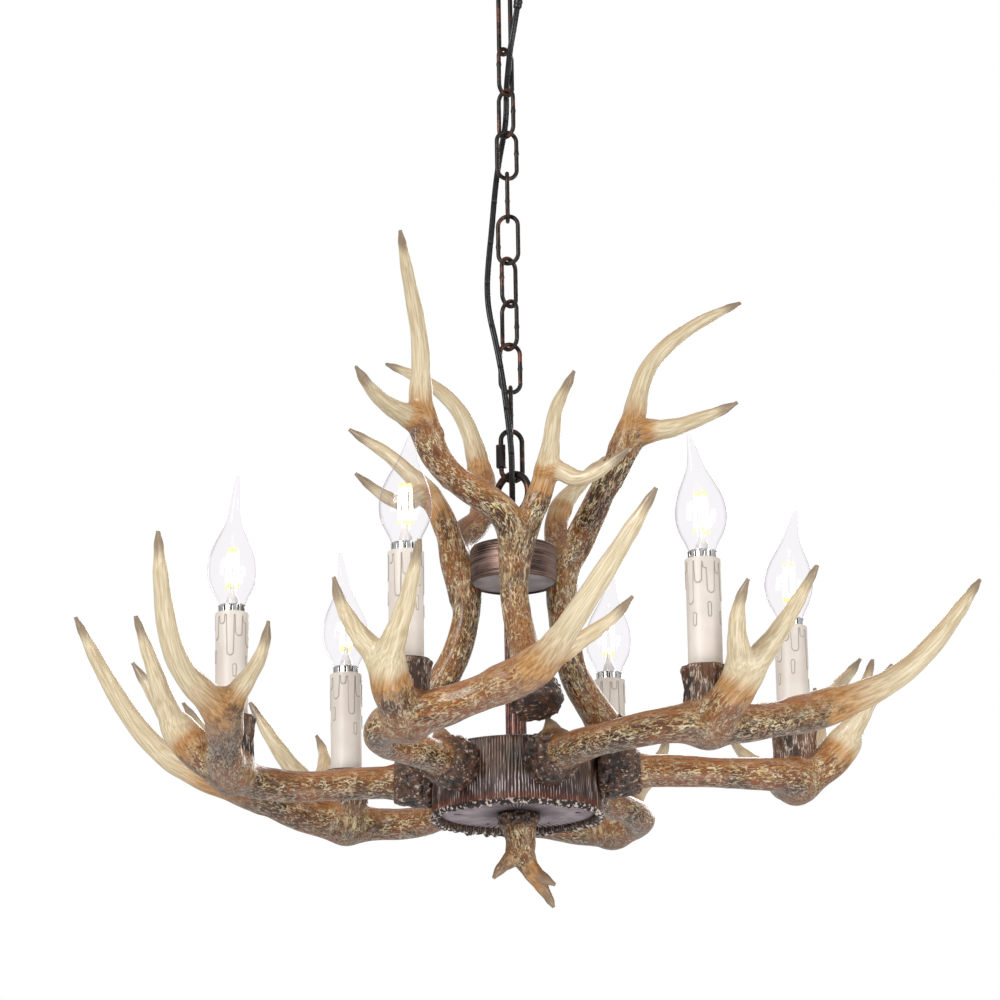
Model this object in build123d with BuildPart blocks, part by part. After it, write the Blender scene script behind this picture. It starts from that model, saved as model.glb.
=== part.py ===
"""Six-light antler chandelier hung on a chain, in millimetres, +Z up.

The origin is the centre of the ceiling face that the bracket is screwed to, so everything
hangs below z = 0.  The camera side of the object is -Y.
"""
import math
import os

from build123d import *

os.makedirs("parts", exist_ok=True)

# ---------------------------------------------------------------- driving dimensions
hang_gap = 0.3            # play left between two pieces that hang on each other
seat_gap = 0.3            # clearance between a casting and what it is bolted to
hole_gap = 0.35           # clearance round a screw or stud in its hole
thread_gap = 0.05         # clearance drawn between a thread and its nut

# ceiling fitting
bracket_width = 20.0
bracket_thickness = 2.5
bracket_slot_pitch = 84.0
bracket_slot_length = 12.0
bracket_slot_radius = 2.4
bracket_end = 5.0         # bar left beyond each slot
bracket_length = bracket_slot_pitch + bracket_slot_length + 2 * bracket_end
stud_pitch = 60.0
stud_radius = 2.0
stud_end = 6.0            # stud below the canopy
canopy_cover = 7.0        # canopy's radius beyond the end of the bracket
canopy_radius = bracket_length / 2 + canopy_cover
canopy_height = 22.0
canopy_wall = 1.2
canopy_rim_round = 9.0
cap_nut_radius = 5.0
cap_nut_height = 8.0
loop_neck = 5.0
loop_size = 26.0
loop_wire = 4.0
loop_stem_radius = 5.0
lock_nut_radius = 8.0
lock_nut_height = 4.0
knurl_radius = 9.0
grip_radius = 4.6
grip_flange_radius = 6.4
grip_flange_height = 2.0
grip_body_height = 9.0
connector_radius = 5.5
connector_height = 14.0
connector_ring = 32.0

# hook, chain, quick link and ring
hook_height = 75.0
hook_width = 14.7
hook_wire = 3.5
link_length = 39.6
link_width = 18.0
link_wire = 3.2
link_count = 9
quick_length = 41.0
quick_width = 19.6
quick_wire = 3.6
quick_gate = 3.0          # opening that the sleeve nut closes
quick_nut_across = 6.8
quick_nut_length = 16.5
quick_nut_travel = 3.5
ring_size = 35.4
ring_wire = 5.3
ring_boss_radius = 6.3
ring_neck = 21.3
ring_neck_radius = 7.5
ring_flange_radius = 11.0
ring_flange_height = 2.0
# how the flat of each link is turned about the chain, from the plane that faces the viewer
loop_turn = 50.0
hook_turn = -40.0
link_turns = [50.0, -45.0, 15.0, 90.0, -12.0, 48.0, -45.0, 15.0, 90.0]
quick_turn = 20.0
ring_turn = -40.0

# cord
cord_diameter = 4.0
cord_bore = 1.5
bushing_radius = 3.6
bushing_height = 6.0
bushing_show = 2.3        # bushing above the ring's wire
tape_wall = 1.0
tape_length = 21.0
tape_gap = 0.5

# collar, rod and hub
collar_radius = 31.0
collar_height = 27.2
collar_wall = 1.5
collar_plate_thickness = 2.0
collar_lip = 1.2
rod_radius = 6.8
rod_reeds = 18
reed_radius = 0.8
rod_length = 120.8
hub_top_radius = 58.0
hub_low_radius = 60.8
hub_height = 49.5
hub_wall = 5.0
hub_recess = 5.0
hub_floor_thickness = 3.0
hub_floor_holes = 6
hub_floor_hole_radius = 2.0
hub_floor_hole_ring = 42.0
tie_rod_radius = 5.0
tie_rod_bore = 3.0
tie_rod_in_neck = 10.0
tie_rod_in_finial = 10.0
tie_nut_radius = 9.0
tie_nut_height = 5.0
hub_connector_ring = 26.0

# candles and lamps
cup_reach = 200.0         # from the chandelier's axis to the axis of a candle
cup_rise = 45.0           # mouth of a cup above the middle of the hub
cup_radius = 17.0
cup_waist = 15.2
cup_foot = 16.5
cup_depth = 12.0
cup_height = 36.0
sleeve_radius = 12.0
sleeve_wall = 1.1
sleeve_show = 74.0        # sleeve above the mouth of the cup
holder_radius = 10.3
holder_base = 2.5
holder_stalk_radius = 4.5
holder_body = 36.0
holder_collar_radius = 9.6
holder_collar_show = 5.6
screw_radius = 6.8
screw_length = 22.0
screw_pip_radius = 3.0
screw_pip_height = 2.0
bulb_radius = 17.6
bulb_wall = 0.9
bulb_belly = 24.0         # widest place above the neck; the girth list has shares of this height and radius
bulb_girth = [(0.0, 0.523), (0.208, 0.636), (0.583, 0.886), (1.0, 1.0), (1.5, 0.92), (2.0, 0.648),
              (2.5, 0.341)]
bulb_flame_radius = 3.4   # half way up the flame tip
bulb_tip_radius = 1.2
bulb_hollow_radius = 0.5  # least radius of the hollow, in the tip
bulb_heights = [82.0, 80.0, 94.0, 88.0, 80.0, 80.0]   # drawn by hand, so no two tips are alike
bulb_bends = [-7.0, 6.0, 4.0, -4.0, 5.0, 7.0]

# antlers
arm_count = 6
crown_count = 3
arm_turn = -51.0          # direction of the first arm from +X
crown_turn = -86.0        # direction of the first upper antler from +X
tine_lifts = [0.0, 0.0, 0.0, 25.0, 0.0, 0.0]          # one casting's long tine stands higher
arm_root = 20.8           # how far a lower antler starts inside the hub's rim, before its seat is cut
arm_bolt_radius = 3.0
arm_bolt_length = 26.0
crown_bolt_radius = 2.5
crown_bolt_length = 13.0
bolt_head_height = 3.5
bolt_head_share = 1.65    # head radius over shank radius
section_step = 24.0       # farthest two sections of a branch stand apart

# ---------------------------------------------------------------- heights, from the ceiling down
canopy_bottom = -canopy_height
loop_top = canopy_bottom - loop_neck
loop_bottom = loop_top - loop_size
hook_top = loop_bottom + loop_wire + hang_gap + hook_wire
hook_bottom = hook_top - hook_height
link_pitch = link_length - 2 * link_wire - hang_gap
first_link_top = hook_bottom + hook_wire + hang_gap + link_wire
link_centres = [first_link_top - link_length / 2 - i * link_pitch for i in range(link_count)]
last_link_bottom = link_centres[-1] - link_length / 2
quick_top = last_link_bottom + link_wire + hang_gap + quick_wire
quick_bottom = quick_top - quick_length
quick_centre = (quick_top + quick_bottom) / 2
ring_top = quick_bottom + quick_wire + hang_gap + ring_wire
ring_bottom = ring_top - ring_size
bushing_top = ring_bottom + ring_wire + bushing_show
collar_top = ring_bottom - ring_neck
collar_bottom = collar_top - collar_height
collar_middle = (collar_top + collar_bottom) / 2
collar_plate_bottom = collar_bottom + collar_lip
hub_top = collar_bottom - rod_length
hub_middle = hub_top - hub_height / 2
hub_bottom = hub_top - hub_height
hub_floor = hub_bottom + hub_recess
cup_mouth = hub_middle + cup_rise
cup_floor = cup_mouth - cup_depth
sleeve_top = cup_mouth + sleeve_show
holder_top = sleeve_top + holder_collar_show
socket_floor = holder_top - screw_length - screw_pip_height - seat_gap

# ---------------------------------------------------------------- branches of the castings
# Points are (outwards from the chandelier's axis, sideways, up).  Girths are (distance along
# the branch, radius).  Heights of an arm count from the middle of the hub, and those of an
# upper antler from the middle of the collar.
arm_beam = [(hub_low_radius - arm_root, -18, 6), (62, -22, 6), (107, -30, 6), (152, -35, 4), (189, -20, 6),
            (205, 15, 8), (209, 44, 13), (210, 67, 19), (216, 95, 28), (241, 127, 44), (258, 163, 79),
            (265, 198, 123)]
arm_beam_girth = [(0, 13), (12, 14), (24, 17.5), (31, 17), (37, 13), (52, 11.5), (92, 10.5), (137, 11.5),
                  (172, 13.5), (202, 13), (232, 11.5), (257, 12), (274, 12.5), (297, 10), (322, 8), (357, 7),
                  (392, 5.4), (414, 3.4), (426, 1.4)]
arm_branches = [
    ([(212, 70, 20), (211, 92, 27), (206, 106, 36), (197, 122, 48), (190, 143, 64), (189, 154, 75)],
     [(0, 10.5), (25, 9.5), (45, 7), (65, 5.2), (90, 3.6), (104, 1.3)]),
    ([(200, 2, 5), (222, -1, 19), (239, 4, 37), (247, 12, 51), (254, 22, 68), (262, 31, 87), (270, 39, 107)],
     [(0, 12), (25, 12.4), (45, 11.5), (62, 8.4), (82, 6.6), (105, 5), (125, 3), (135, 1.5)]),
    ([(226, 3, 24), (236, -3, 38), (245, -12, 51), (253, -19, 65), (260, -22, 76), (268, -22, 88)],
     [(0, 10), (15, 9.5), (32, 7.6), (50, 5.8), (68, 3.8), (83, 1.4)]),
    ([(74, -23, 12), (73, -26, 20), (71, -31, 32)], [(0, 7), (10, 5.5), (20, 1.3)]),
]
crown_beam = [(91, 8, -124), (86, 7, -114), (55, 3, -76), (39.5, -2.5, -31.5), (41, -3, 1), (49, -6, 18),
              (48, -44, 51), (57, -66, 89), (70, -68, 135), (102, -76, 172), (146, -85, 199)]
crown_beam_girth = [(0, 13.5), (6, 17), (12, 16.5), (18, 13), (34, 11.5), (75, 10.3), (110, 9.8), (140, 10.4),
                    (160, 12.5), (185, 11), (210, 9.6), (240, 10.4), (256, 10.8), (275, 8.4), (296, 6.8),
                    (330, 5.8), (370, 4.6), (396, 3), (408, 1.4)]
crown_branches = [
    ([(42, -1, -18), (45, 2, 6), (47, 13, 32), (58, 21, 58), (72, 23, 74), (87, 25, 89), (104, 32, 102),
      (113, 36, 109)],
     [(0, 9), (25, 12), (50, 9.5), (80, 8), (105, 5.8), (125, 4.8), (145, 3.4), (157, 1.4)]),
    ([(56, 20, 54), (60, 28, 53), (65, 40, 46), (72, 52, 47), (80, 65, 54), (87, 76, 62)],
     [(0, 7.5), (15, 6.5), (35, 4.8), (52, 3.4), (66, 1.4)]),
    ([(54, -60, 80), (60, -70, 89), (70, -80, 91), (82, -91, 93), (94, -101, 98), (107, -109, 104),
      (117, -115, 110)],
     [(0, 9), (18, 9.5), (34, 7), (52, 5.4), (75, 3.8), (88, 1.3)]),
]
finial_stem = [(0, 0, hub_recess), (1, 0, -6), (2, 0, -15), (4, 1, -26), (9, 2, -36), (15, 3, -45),
               (20, 3, -53), (24, 3, -61)]
finial_stem_girth = [(0, 14), (8, 11.5), (20, 10.6), (32, 10.6), (44, 8), (56, 5.6), (68, 3.2), (73, 1.3)]
finial_branches = [
    ([(0, 0, -18), (-3, -1, -26), (-10, -3, -33), (-18, -4, -42)], [(0, 9), (10, 7.5), (20, 4.6), (31, 1.3)]),
    ([(11, 2, -38), (15, 3, -43), (20, 5, -47), (25, 7, -48)], [(0, 6), (7, 4.6), (17, 1.3)]),
]

# the cord's route, from the canopy to the ring
cord_lead = 4.1           # straight end of the cord above its bushing
cord_route = [
    (16.0, -12.0, canopy_bottom - grip_flange_height), (16.0, -12.0, -38.0), (13.2, -12.6, -65.0),
    (9.8, -12.2, -85.0),
    (6.4, -10.7, -105.0), (3.7, -7.1, -118.0), (2.1, -0.4, -131.0), (0.4, 6.3, -145.0),
    (0.4, 9.9, -159.0), (-0.8, 10.7, -173.0), (-3.2, 9.9, -186.0), (-5.7, 8.3, -200.0),
    (-8.0, 6.2, -216.0), (-9.9, 4.1, -234.0), (-11.9, 2.0, -257.0), (-14.4, -0.1, -280.0),
    (-16.0, -2.3, -302.0), (-14.8, -4.5, -322.0), (-10.8, -6.6, -342.0), (-7.3, -8.6, -362.0),
    (-4.9, -10.2, -380.0), (-3.1, -11.1, -397.0), (-1.3, -10.8, -414.0), (-0.1, -9.4, -430.0),
    (0.0, -6.7, -445.0), (0.0, -3.2, -454.5), (0.0, -0.7, -461.5), (0.0, 0.0, bushing_top + cord_lead),
    (0.0, 0.0, bushing_top),
]
run_share = 0.45          # share of the shorter run that each bend takes
tape_start_count = 3      # the tape is wound on the run that starts at this point


# ---------------------------------------------------------------- makers
def save(piece, name):
    """Label a finished piece and write its file."""
    piece.part.label = name
    export_step(piece.part, f"parts/{name}.step")


def facing(angle):
    """Level direction turned by the angle from +X."""
    turn = math.radians(angle)
    return Vector(math.cos(turn), math.sin(turn), 0)


def round_bar(start, direction, length, radius):
    """A straight round bar."""
    with BuildPart() as bar:
        with BuildSketch(Plane(origin=start, z_dir=direction)):
            Circle(radius)
        extrude(amount=length)
    return bar.part


def oval_link(length, width, wire, angle, centre):
    """A closed oval of round wire, upright, with its flat turned by the angle."""
    half = (width - wire) / 2
    straight = (length - width) / 2
    side = facing(angle)
    flat = Plane(origin=(0, 0, centre), x_dir=side, z_dir=side.cross(Vector(0, 0, 1)))
    with BuildPart() as link:
        with BuildLine(flat) as loop:
            CenterArc((0, straight), half, 0, 180)
            CenterArc((0, -straight), half, 180, 180)
            if straight > hang_gap:
                Line((-half, straight), (-half, -straight))
                Line((half, -straight), (half, straight))
        wire_start = side * half + Vector(0, 0, centre + straight)
        with BuildSketch(Plane(origin=wire_start, x_dir=side, z_dir=(0, 0, 1))):
            Circle(wire / 2)
        sweep(path=loop.wire())
    return link


def branch(points, girth, across):
    """A solid round in section along a smooth line through the points.

    Between two entries of the girth list the radius eases from one to the next.  The sections
    are laid out against the across direction, which the branch never runs along.
    """
    with BuildLine() as centre_line:
        Spline(*points)
    line = centre_line.edge()
    stretch = line.length / girth[-1][0]
    stations = []
    for (near, thick), (far, thin) in zip(girth, girth[1:]):
        pieces = max(1, math.ceil((far - near) / section_step))
        for i in range(pieces):
            share = i / pieces
            ease = share * share * (3 - 2 * share)
            stations.append((near + (far - near) * share, thick + (thin - thick) * ease))
    stations.append(girth[-1])
    with BuildPart() as limb:
        for distance, radius in stations:
            share = min(1.0, distance * stretch / line.length)
            along = line.tangent_at(share)
            side = Vector(*across).cross(along)
            with BuildSketch(Plane(origin=line.position_at(share), x_dir=side, z_dir=along)):
                Circle(radius)
        loft()
    return limb.part


def drum(lower_radius, upper_radius, height):
    """A plain solid drum that stands on z = 0, wider at one end."""
    with BuildPart() as body:
        Cone(lower_radius, upper_radius, height, align=(Align.CENTER, Align.CENTER, Align.MIN))
    return body.part


def cap_connectors(floor, ring_radius, angles):
    """Twist-on wire connectors that stand on a floor, on a ring about the axis."""
    with BuildPart() as caps:
        for angle in angles:
            with Locations(facing(angle) * ring_radius + Vector(0, 0, floor)):
                Cone(connector_radius, connector_radius * 0.6, connector_height,
                     align=(Align.CENTER, Align.CENTER, Align.MIN))
    return caps


# ---------------------------------------------------------------- ceiling fitting
with BuildPart() as ceiling_bracket:
    with BuildSketch(Plane.XY.offset(-bracket_thickness)):
        SlotOverall(bracket_length, bracket_width)
        with Locations((-bracket_slot_pitch / 2, 0), (bracket_slot_pitch / 2, 0)):
            SlotOverall(bracket_slot_length, 2 * bracket_slot_radius, mode=Mode.SUBTRACT)
        Circle(loop_stem_radius + thread_gap, mode=Mode.SUBTRACT)
    extrude(amount=bracket_thickness)
    with BuildSketch(Plane.XY.offset(-bracket_thickness)):
        with Locations((-stud_pitch / 2, 0), (stud_pitch / 2, 0)):
            Circle(stud_radius)
    extrude(amount=-(canopy_height - bracket_thickness + stud_end))
save(ceiling_bracket, "ceiling_bracket")

grip_place = cord_route[0][:2]
with BuildPart() as canopy:
    with Locations((0, 0, canopy_bottom)):
        Cylinder(canopy_radius, canopy_height, align=(Align.CENTER, Align.CENTER, Align.MIN))
    fillet(canopy.edges().group_by(Axis.Z)[0], canopy_rim_round)
    offset(amount=-canopy_wall, openings=canopy.faces().sort_by(Axis.Z)[-1])
    with BuildSketch(Plane.XY.offset(canopy_bottom)):
        Circle(loop_stem_radius + hole_gap)
        with Locations((-stud_pitch / 2, 0), (stud_pitch / 2, 0)):
            Circle(stud_radius + hole_gap)
        with Locations(grip_place):
            Circle(grip_radius + hole_gap)
    extrude(amount=canopy_wall * 2, mode=Mode.SUBTRACT)
save(canopy, "canopy")

with BuildPart() as canopy_nuts:
    with BuildSketch(Plane.XY.offset(canopy_bottom)):
        with Locations((-stud_pitch / 2, 0), (stud_pitch / 2, 0)):
            Circle(cap_nut_radius)
    extrude(amount=-cap_nut_height)
    fillet(canopy_nuts.edges().group_by(Axis.Z)[0], cap_nut_radius * 0.6)
    with BuildSketch(Plane.XY.offset(canopy_bottom)):
        with Locations((-stud_pitch / 2, 0), (stud_pitch / 2, 0)):
            Circle(stud_radius + thread_gap)
    extrude(amount=-(stud_end + seat_gap), mode=Mode.SUBTRACT)
    with BuildSketch(Plane.XY.offset(canopy_bottom)):
        Circle(knurl_radius)
        Circle(loop_stem_radius + thread_gap, mode=Mode.SUBTRACT)
    extrude(amount=-lock_nut_height)
    with BuildSketch(Plane.XY.offset(-bracket_thickness)):
        RegularPolygon(lock_nut_radius, 6)
        Circle(loop_stem_radius + thread_gap, mode=Mode.SUBTRACT)
    extrude(amount=-lock_nut_height)
save(canopy_nuts, "canopy_nuts")

loop_ring = oval_link(loop_size, loop_size, loop_wire, loop_turn, (loop_top + loop_bottom) / 2)
with BuildPart() as canopy_loop:
    add(loop_ring.part)
    with BuildSketch(Plane.XY.offset(-seat_gap)):
        Circle(loop_stem_radius)
    extrude(amount=loop_top - loop_wire / 2 + seat_gap)
save(canopy_loop, "canopy_loop")

with BuildPart() as cord_grip:
    with BuildSketch(Plane.XY.offset(canopy_bottom - grip_flange_height)):
        with Locations(grip_place):
            Circle(grip_flange_radius)
    extrude(amount=grip_flange_height)
    with BuildSketch(Plane.XY.offset(canopy_bottom)):
        with Locations(grip_place):
            Circle(grip_radius)
    extrude(amount=grip_body_height)
    with BuildSketch(Plane.XY.offset(canopy_bottom - grip_flange_height)):
        with Locations(grip_place):
            Circle(cord_bore)
    extrude(amount=grip_flange_height + grip_body_height, mode=Mode.SUBTRACT)
save(cord_grip, "cord_grip")
save(cap_connectors(canopy_bottom + canopy_wall, connector_ring, (60, 90, 120)), "wire_connectors")

# ---------------------------------------------------------------- hook, chain and quick link
save(oval_link(hook_height, hook_width, hook_wire, hook_turn, (hook_top + hook_bottom) / 2), "hook")
for i in range(link_count):
    chain_link = oval_link(link_length, link_width, link_wire, link_turns[i], link_centres[i])
    save(chain_link, f"chain_link_{i + 1}")

quick_side = facing(quick_turn)
quick_leg = quick_side * -((quick_width - quick_wire) / 2)
quick_straight = (quick_length - quick_width) / 2
nut_top = quick_centre + quick_straight - quick_nut_travel
nut_bottom = nut_top - quick_nut_length
gate_bottom = nut_bottom + seat_gap
quick_oval = oval_link(quick_length, quick_width, quick_wire, quick_turn, quick_centre)
with BuildPart() as quick_link:
    add(quick_oval.part)
    with Locations(quick_leg + Vector(0, 0, gate_bottom)):
        Cylinder(quick_wire, quick_gate, align=(Align.CENTER, Align.CENTER, Align.MIN), mode=Mode.SUBTRACT)
save(quick_link, "quick_link")
with BuildPart() as quick_link_nut:
    with BuildSketch(Plane(origin=quick_leg + Vector(0, 0, nut_bottom), x_dir=quick_side, z_dir=(0, 0, 1))):
        RegularPolygon(quick_nut_across / 2, 6, major_radius=False)
        Circle(quick_wire / 2 + 2 * thread_gap, mode=Mode.SUBTRACT)
    extrude(amount=quick_nut_length)
save(quick_link_nut, "quick_link_nut")

# ---------------------------------------------------------------- ring, bushing and cord
ring_oval = oval_link(ring_size, ring_size, ring_wire, ring_turn, (ring_top + ring_bottom) / 2)
with BuildPart() as fixture_ring:
    add(ring_oval.part)
    with Locations((0, 0, ring_bottom)):
        Sphere(ring_boss_radius)
    with BuildSketch(Plane.XY.offset(collar_top)):
        Circle(ring_neck_radius)
    extrude(amount=ring_neck)
    with BuildSketch(Plane.XY.offset(collar_top)):
        Circle(ring_flange_radius)
    extrude(amount=ring_flange_height)
    with BuildSketch(Plane.XY.offset(bushing_top - bushing_height)):
        Circle(bushing_radius + thread_gap)
    extrude(amount=2 * bushing_height, mode=Mode.SUBTRACT)
    with BuildSketch(Plane.XY.offset(collar_top)):
        Circle(cord_bore)
    extrude(amount=bushing_top - collar_top, mode=Mode.SUBTRACT)
    with BuildSketch(Plane.XY.offset(collar_top)):
        Circle(tie_rod_radius + thread_gap)
    extrude(amount=tie_rod_in_neck + seat_gap, mode=Mode.SUBTRACT)
save(fixture_ring, "fixture_ring")

with BuildPart() as cord_bushing:
    with BuildSketch(Plane.XY.offset(bushing_top - bushing_height)):
        Circle(bushing_radius)
        Circle(cord_bore, mode=Mode.SUBTRACT)
    extrude(amount=bushing_height)
save(cord_bushing, "cord_bushing")

cord_points = [Vector(*point) for point in cord_route]
cord_runs = [end - start for start, end in zip(cord_points, cord_points[1:])]
cord_radii = []
for first, second in zip(cord_runs, cord_runs[1:]):
    half_turn = math.radians(first.get_angle(second)) / 2
    cord_radii.append(run_share * min(first.length, second.length) / math.tan(half_turn))
with BuildPart() as cord:
    with BuildLine() as cord_path:
        FilletPolyline(*cord_points, radius=cord_radii)
    with BuildSketch(Plane(origin=cord_points[0], z_dir=cord_runs[0])):
        Circle(cord_diameter / 2)
    sweep(path=cord_path.wire())
print("cord radii", [round(radius, 1) for radius in cord_radii])
print("cord length", round(cord_path.wire().length, 1), "volume", round(cord.part.volume, 1),
      "section times length", round(math.pi * cord_diameter ** 2 / 4 * cord_path.wire().length, 1))
save(cord, "cord")

tape_run = cord_runs[tape_start_count]
tape_lead = (tape_run.length - tape_length) / 2
tape_start = cord_points[tape_start_count] + tape_run * (tape_lead / tape_run.length)
with BuildPart() as cord_tape:
    with BuildSketch(Plane(origin=tape_start, z_dir=tape_run)):
        Circle(cord_diameter / 2 + tape_gap + tape_wall)
        Circle(cord_diameter / 2 + tape_gap, mode=Mode.SUBTRACT)
    extrude(amount=tape_length)
save(cord_tape, "cord_tape")

# ---------------------------------------------------------------- collar, rod and hub
arm_seat_turn = math.degrees(math.atan2(arm_beam[1][1], arm_beam[1][0]))
crown_seat_turn = math.degrees(math.atan2(crown_beam[4][1], crown_beam[4][0]))
arm_angles = [arm_turn - i * 360 / arm_count for i in range(arm_count)]
crown_angles = [crown_turn + i * 360 / crown_count for i in range(crown_count)]
arm_bolt_height = hub_middle + arm_beam[1][2]
crown_bolt_height = collar_middle + crown_beam[4][2]

arm_seats = [facing(angle + arm_seat_turn) for angle in arm_angles]
crown_seats = [facing(angle + crown_seat_turn) for angle in crown_angles]

collar_hole_reach = collar_radius + 2 * collar_wall
collar_holes = [round_bar(Vector(0, 0, crown_bolt_height), out, collar_hole_reach,
                          crown_bolt_radius + hole_gap) for out in crown_seats]
with BuildPart() as collar_drum:
    with BuildSketch(Plane.XY.offset(collar_bottom)):
        Circle(collar_radius)
    extrude(amount=collar_height)
    with BuildSketch(Plane.XY.offset(collar_bottom)):
        Circle(collar_radius - collar_wall)
    extrude(amount=collar_height - collar_wall, mode=Mode.SUBTRACT)
    with BuildSketch(Plane.XY.offset(collar_top)):
        Circle(tie_rod_radius + hole_gap)
    extrude(amount=-2 * collar_wall, mode=Mode.SUBTRACT)
    add(collar_holes, mode=Mode.SUBTRACT)
save(collar_drum, "collar_drum")

with BuildPart() as collar_plate:
    with BuildSketch(Plane.XY.offset(collar_plate_bottom)):
        Circle(collar_radius - collar_wall - seat_gap)
        Circle(tie_rod_radius + hole_gap, mode=Mode.SUBTRACT)
    extrude(amount=collar_plate_thickness)
save(collar_plate, "collar_plate")

with BuildPart() as center_rod:
    with BuildSketch(Plane.XY.offset(hub_top)):
        Circle(rod_radius)
        with PolarLocations(rod_radius - reed_radius / 3, rod_reeds):
            Circle(reed_radius)
        Circle(tie_rod_radius + hole_gap, mode=Mode.SUBTRACT)
    extrude(amount=collar_plate_bottom - hub_top)
save(center_rod, "center_rod")

tie_rod_top = collar_top + tie_rod_in_neck
tie_rod_bottom = hub_floor - tie_rod_in_finial
with BuildPart() as tie_rod:
    with BuildSketch(Plane.XY.offset(tie_rod_bottom)):
        Circle(tie_rod_radius)
        Circle(tie_rod_bore, mode=Mode.SUBTRACT)
    extrude(amount=tie_rod_top - tie_rod_bottom)
save(tie_rod, "tie_rod")

nut_seats = [collar_top - collar_wall - tie_nut_height, collar_plate_bottom + collar_plate_thickness,
             hub_top - hub_wall - tie_nut_height, hub_floor + hub_floor_thickness]
with BuildPart() as tie_rod_nuts:
    for seat in nut_seats:
        with BuildSketch(Plane.XY.offset(seat)):
            RegularPolygon(tie_nut_radius, 6)
            Circle(tie_rod_radius + thread_gap, mode=Mode.SUBTRACT)
        extrude(amount=tie_nut_height)
save(tie_rod_nuts, "tie_rod_nuts")

hub_flare = (hub_low_radius - hub_top_radius) / hub_height
hub_hole_reach = hub_low_radius + hub_wall
hub_holes = [round_bar(Vector(0, 0, arm_bolt_height), out, hub_hole_reach, arm_bolt_radius + hole_gap)
             for out in arm_seats]
hub_outside = drum(hub_low_radius, hub_top_radius, hub_height)
hub_inside = drum(hub_low_radius - hub_wall, hub_top_radius - hub_wall + hub_flare * hub_wall,
                  hub_height - hub_wall)
with BuildPart() as hub_shell:
    add(hub_outside.moved(Location((0, 0, hub_bottom))))
    add(hub_inside.moved(Location((0, 0, hub_bottom))), mode=Mode.SUBTRACT)
    with BuildSketch(Plane.XY.offset(hub_top)):
        Circle(tie_rod_radius + hole_gap)
    extrude(amount=-2 * hub_wall, mode=Mode.SUBTRACT)
    add(hub_holes, mode=Mode.SUBTRACT)
save(hub_shell, "hub_shell")

floor_radius = hub_low_radius - hub_wall - hub_flare * (hub_recess + hub_floor_thickness) - seat_gap
with BuildPart() as hub_floor_plate:
    with BuildSketch(Plane.XY.offset(hub_floor)):
        Circle(floor_radius)
        Circle(tie_rod_radius + hole_gap, mode=Mode.SUBTRACT)
        with PolarLocations(hub_floor_hole_ring, hub_floor_holes):
            Circle(hub_floor_hole_radius, mode=Mode.SUBTRACT)
    extrude(amount=hub_floor_thickness)
save(hub_floor_plate, "hub_floor_plate")
save(cap_connectors(hub_floor + hub_floor_thickness, hub_connector_ring, (30, 150, 270)), "hub_connectors")

hub_inner_radius = hub_low_radius - hub_wall - hub_flare * (arm_bolt_height - hub_bottom)
arm_head_reach = hub_inner_radius - bolt_head_height - 2 * seat_gap
crown_head_reach = collar_radius - collar_wall - bolt_head_height - seat_gap
bolts = []
for out in arm_seats:
    head = out * arm_head_reach + Vector(0, 0, arm_bolt_height)
    bolts.append(round_bar(head, out, arm_bolt_length + bolt_head_height, arm_bolt_radius))
    bolts.append(round_bar(head, out, bolt_head_height, arm_bolt_radius * bolt_head_share))
for out in crown_seats:
    head = out * crown_head_reach + Vector(0, 0, crown_bolt_height)
    bolts.append(round_bar(head, out, crown_bolt_length + bolt_head_height, crown_bolt_radius))
    bolts.append(round_bar(head, out, bolt_head_height, crown_bolt_radius * bolt_head_share))
with BuildPart() as fixing_bolts:
    add(bolts)
save(fixing_bolts, "fixing_bolts")

# ---------------------------------------------------------------- antlers
burr_foot = hub_height / 2 + arm_beam[1][2] - arm_beam_girth[2][1]
arm_seat_radius = hub_low_radius - hub_flare * burr_foot + seat_gap
arm_bore_reach = arm_head_reach + bolt_head_height + arm_bolt_length + seat_gap
arm_bolt_bore = round_bar(Vector(0, 0, arm_beam[1][2]), facing(arm_seat_turn), arm_bore_reach,
                          arm_bolt_radius + hole_gap)


def arm_casting(lift):
    """One lower antler with its candle cup, about the middle of the hub, out along +X."""
    bend = arm_beam[8][2]
    rise = arm_beam[-1][2] - bend
    beam = [(x, y, z + lift * (max(0, z - bend) / rise) ** 1.5) for x, y, z in arm_beam]
    limbs = [branch(beam, arm_beam_girth, (0, 0, 1))]
    limbs += [branch(points, girth, (0, 0, 1)) for points, girth in arm_branches[:-1]]
    limbs.append(branch(*arm_branches[-1], (1, 0, 0)))
    with BuildPart() as cup:
        for drop, radius in ((cup_height, cup_foot), (cup_height / 2, cup_waist), (0, cup_radius)):
            with BuildSketch(Plane.XY.offset(cup_rise - drop)):
                with Locations((cup_reach, 0)):
                    Circle(radius)
        loft()
    with BuildPart() as arm:
        for limb in limbs:
            add(limb)
        add(cup.part)
        with BuildSketch(Plane.XY.offset(cup_rise - cup_depth)):
            with Locations((cup_reach, 0)):
                Circle(sleeve_radius + seat_gap)
        extrude(amount=sleeve_show, mode=Mode.SUBTRACT)
        with BuildSketch(Plane.XY.offset(-hub_height)):
            Circle(arm_seat_radius)
        extrude(amount=2 * hub_height, mode=Mode.SUBTRACT)
        add(arm_bolt_bore, mode=Mode.SUBTRACT)
    return arm.part


castings = {lift: arm_casting(lift) for lift in sorted(set(tine_lifts))}
for i, angle in enumerate(arm_angles):
    with BuildPart() as arm_antler:
        add(castings[tine_lifts[i]].moved(Location((0, 0, hub_middle), (0, 0, angle))))
    save(arm_antler, f"arm_antler_{i + 1}")

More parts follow.
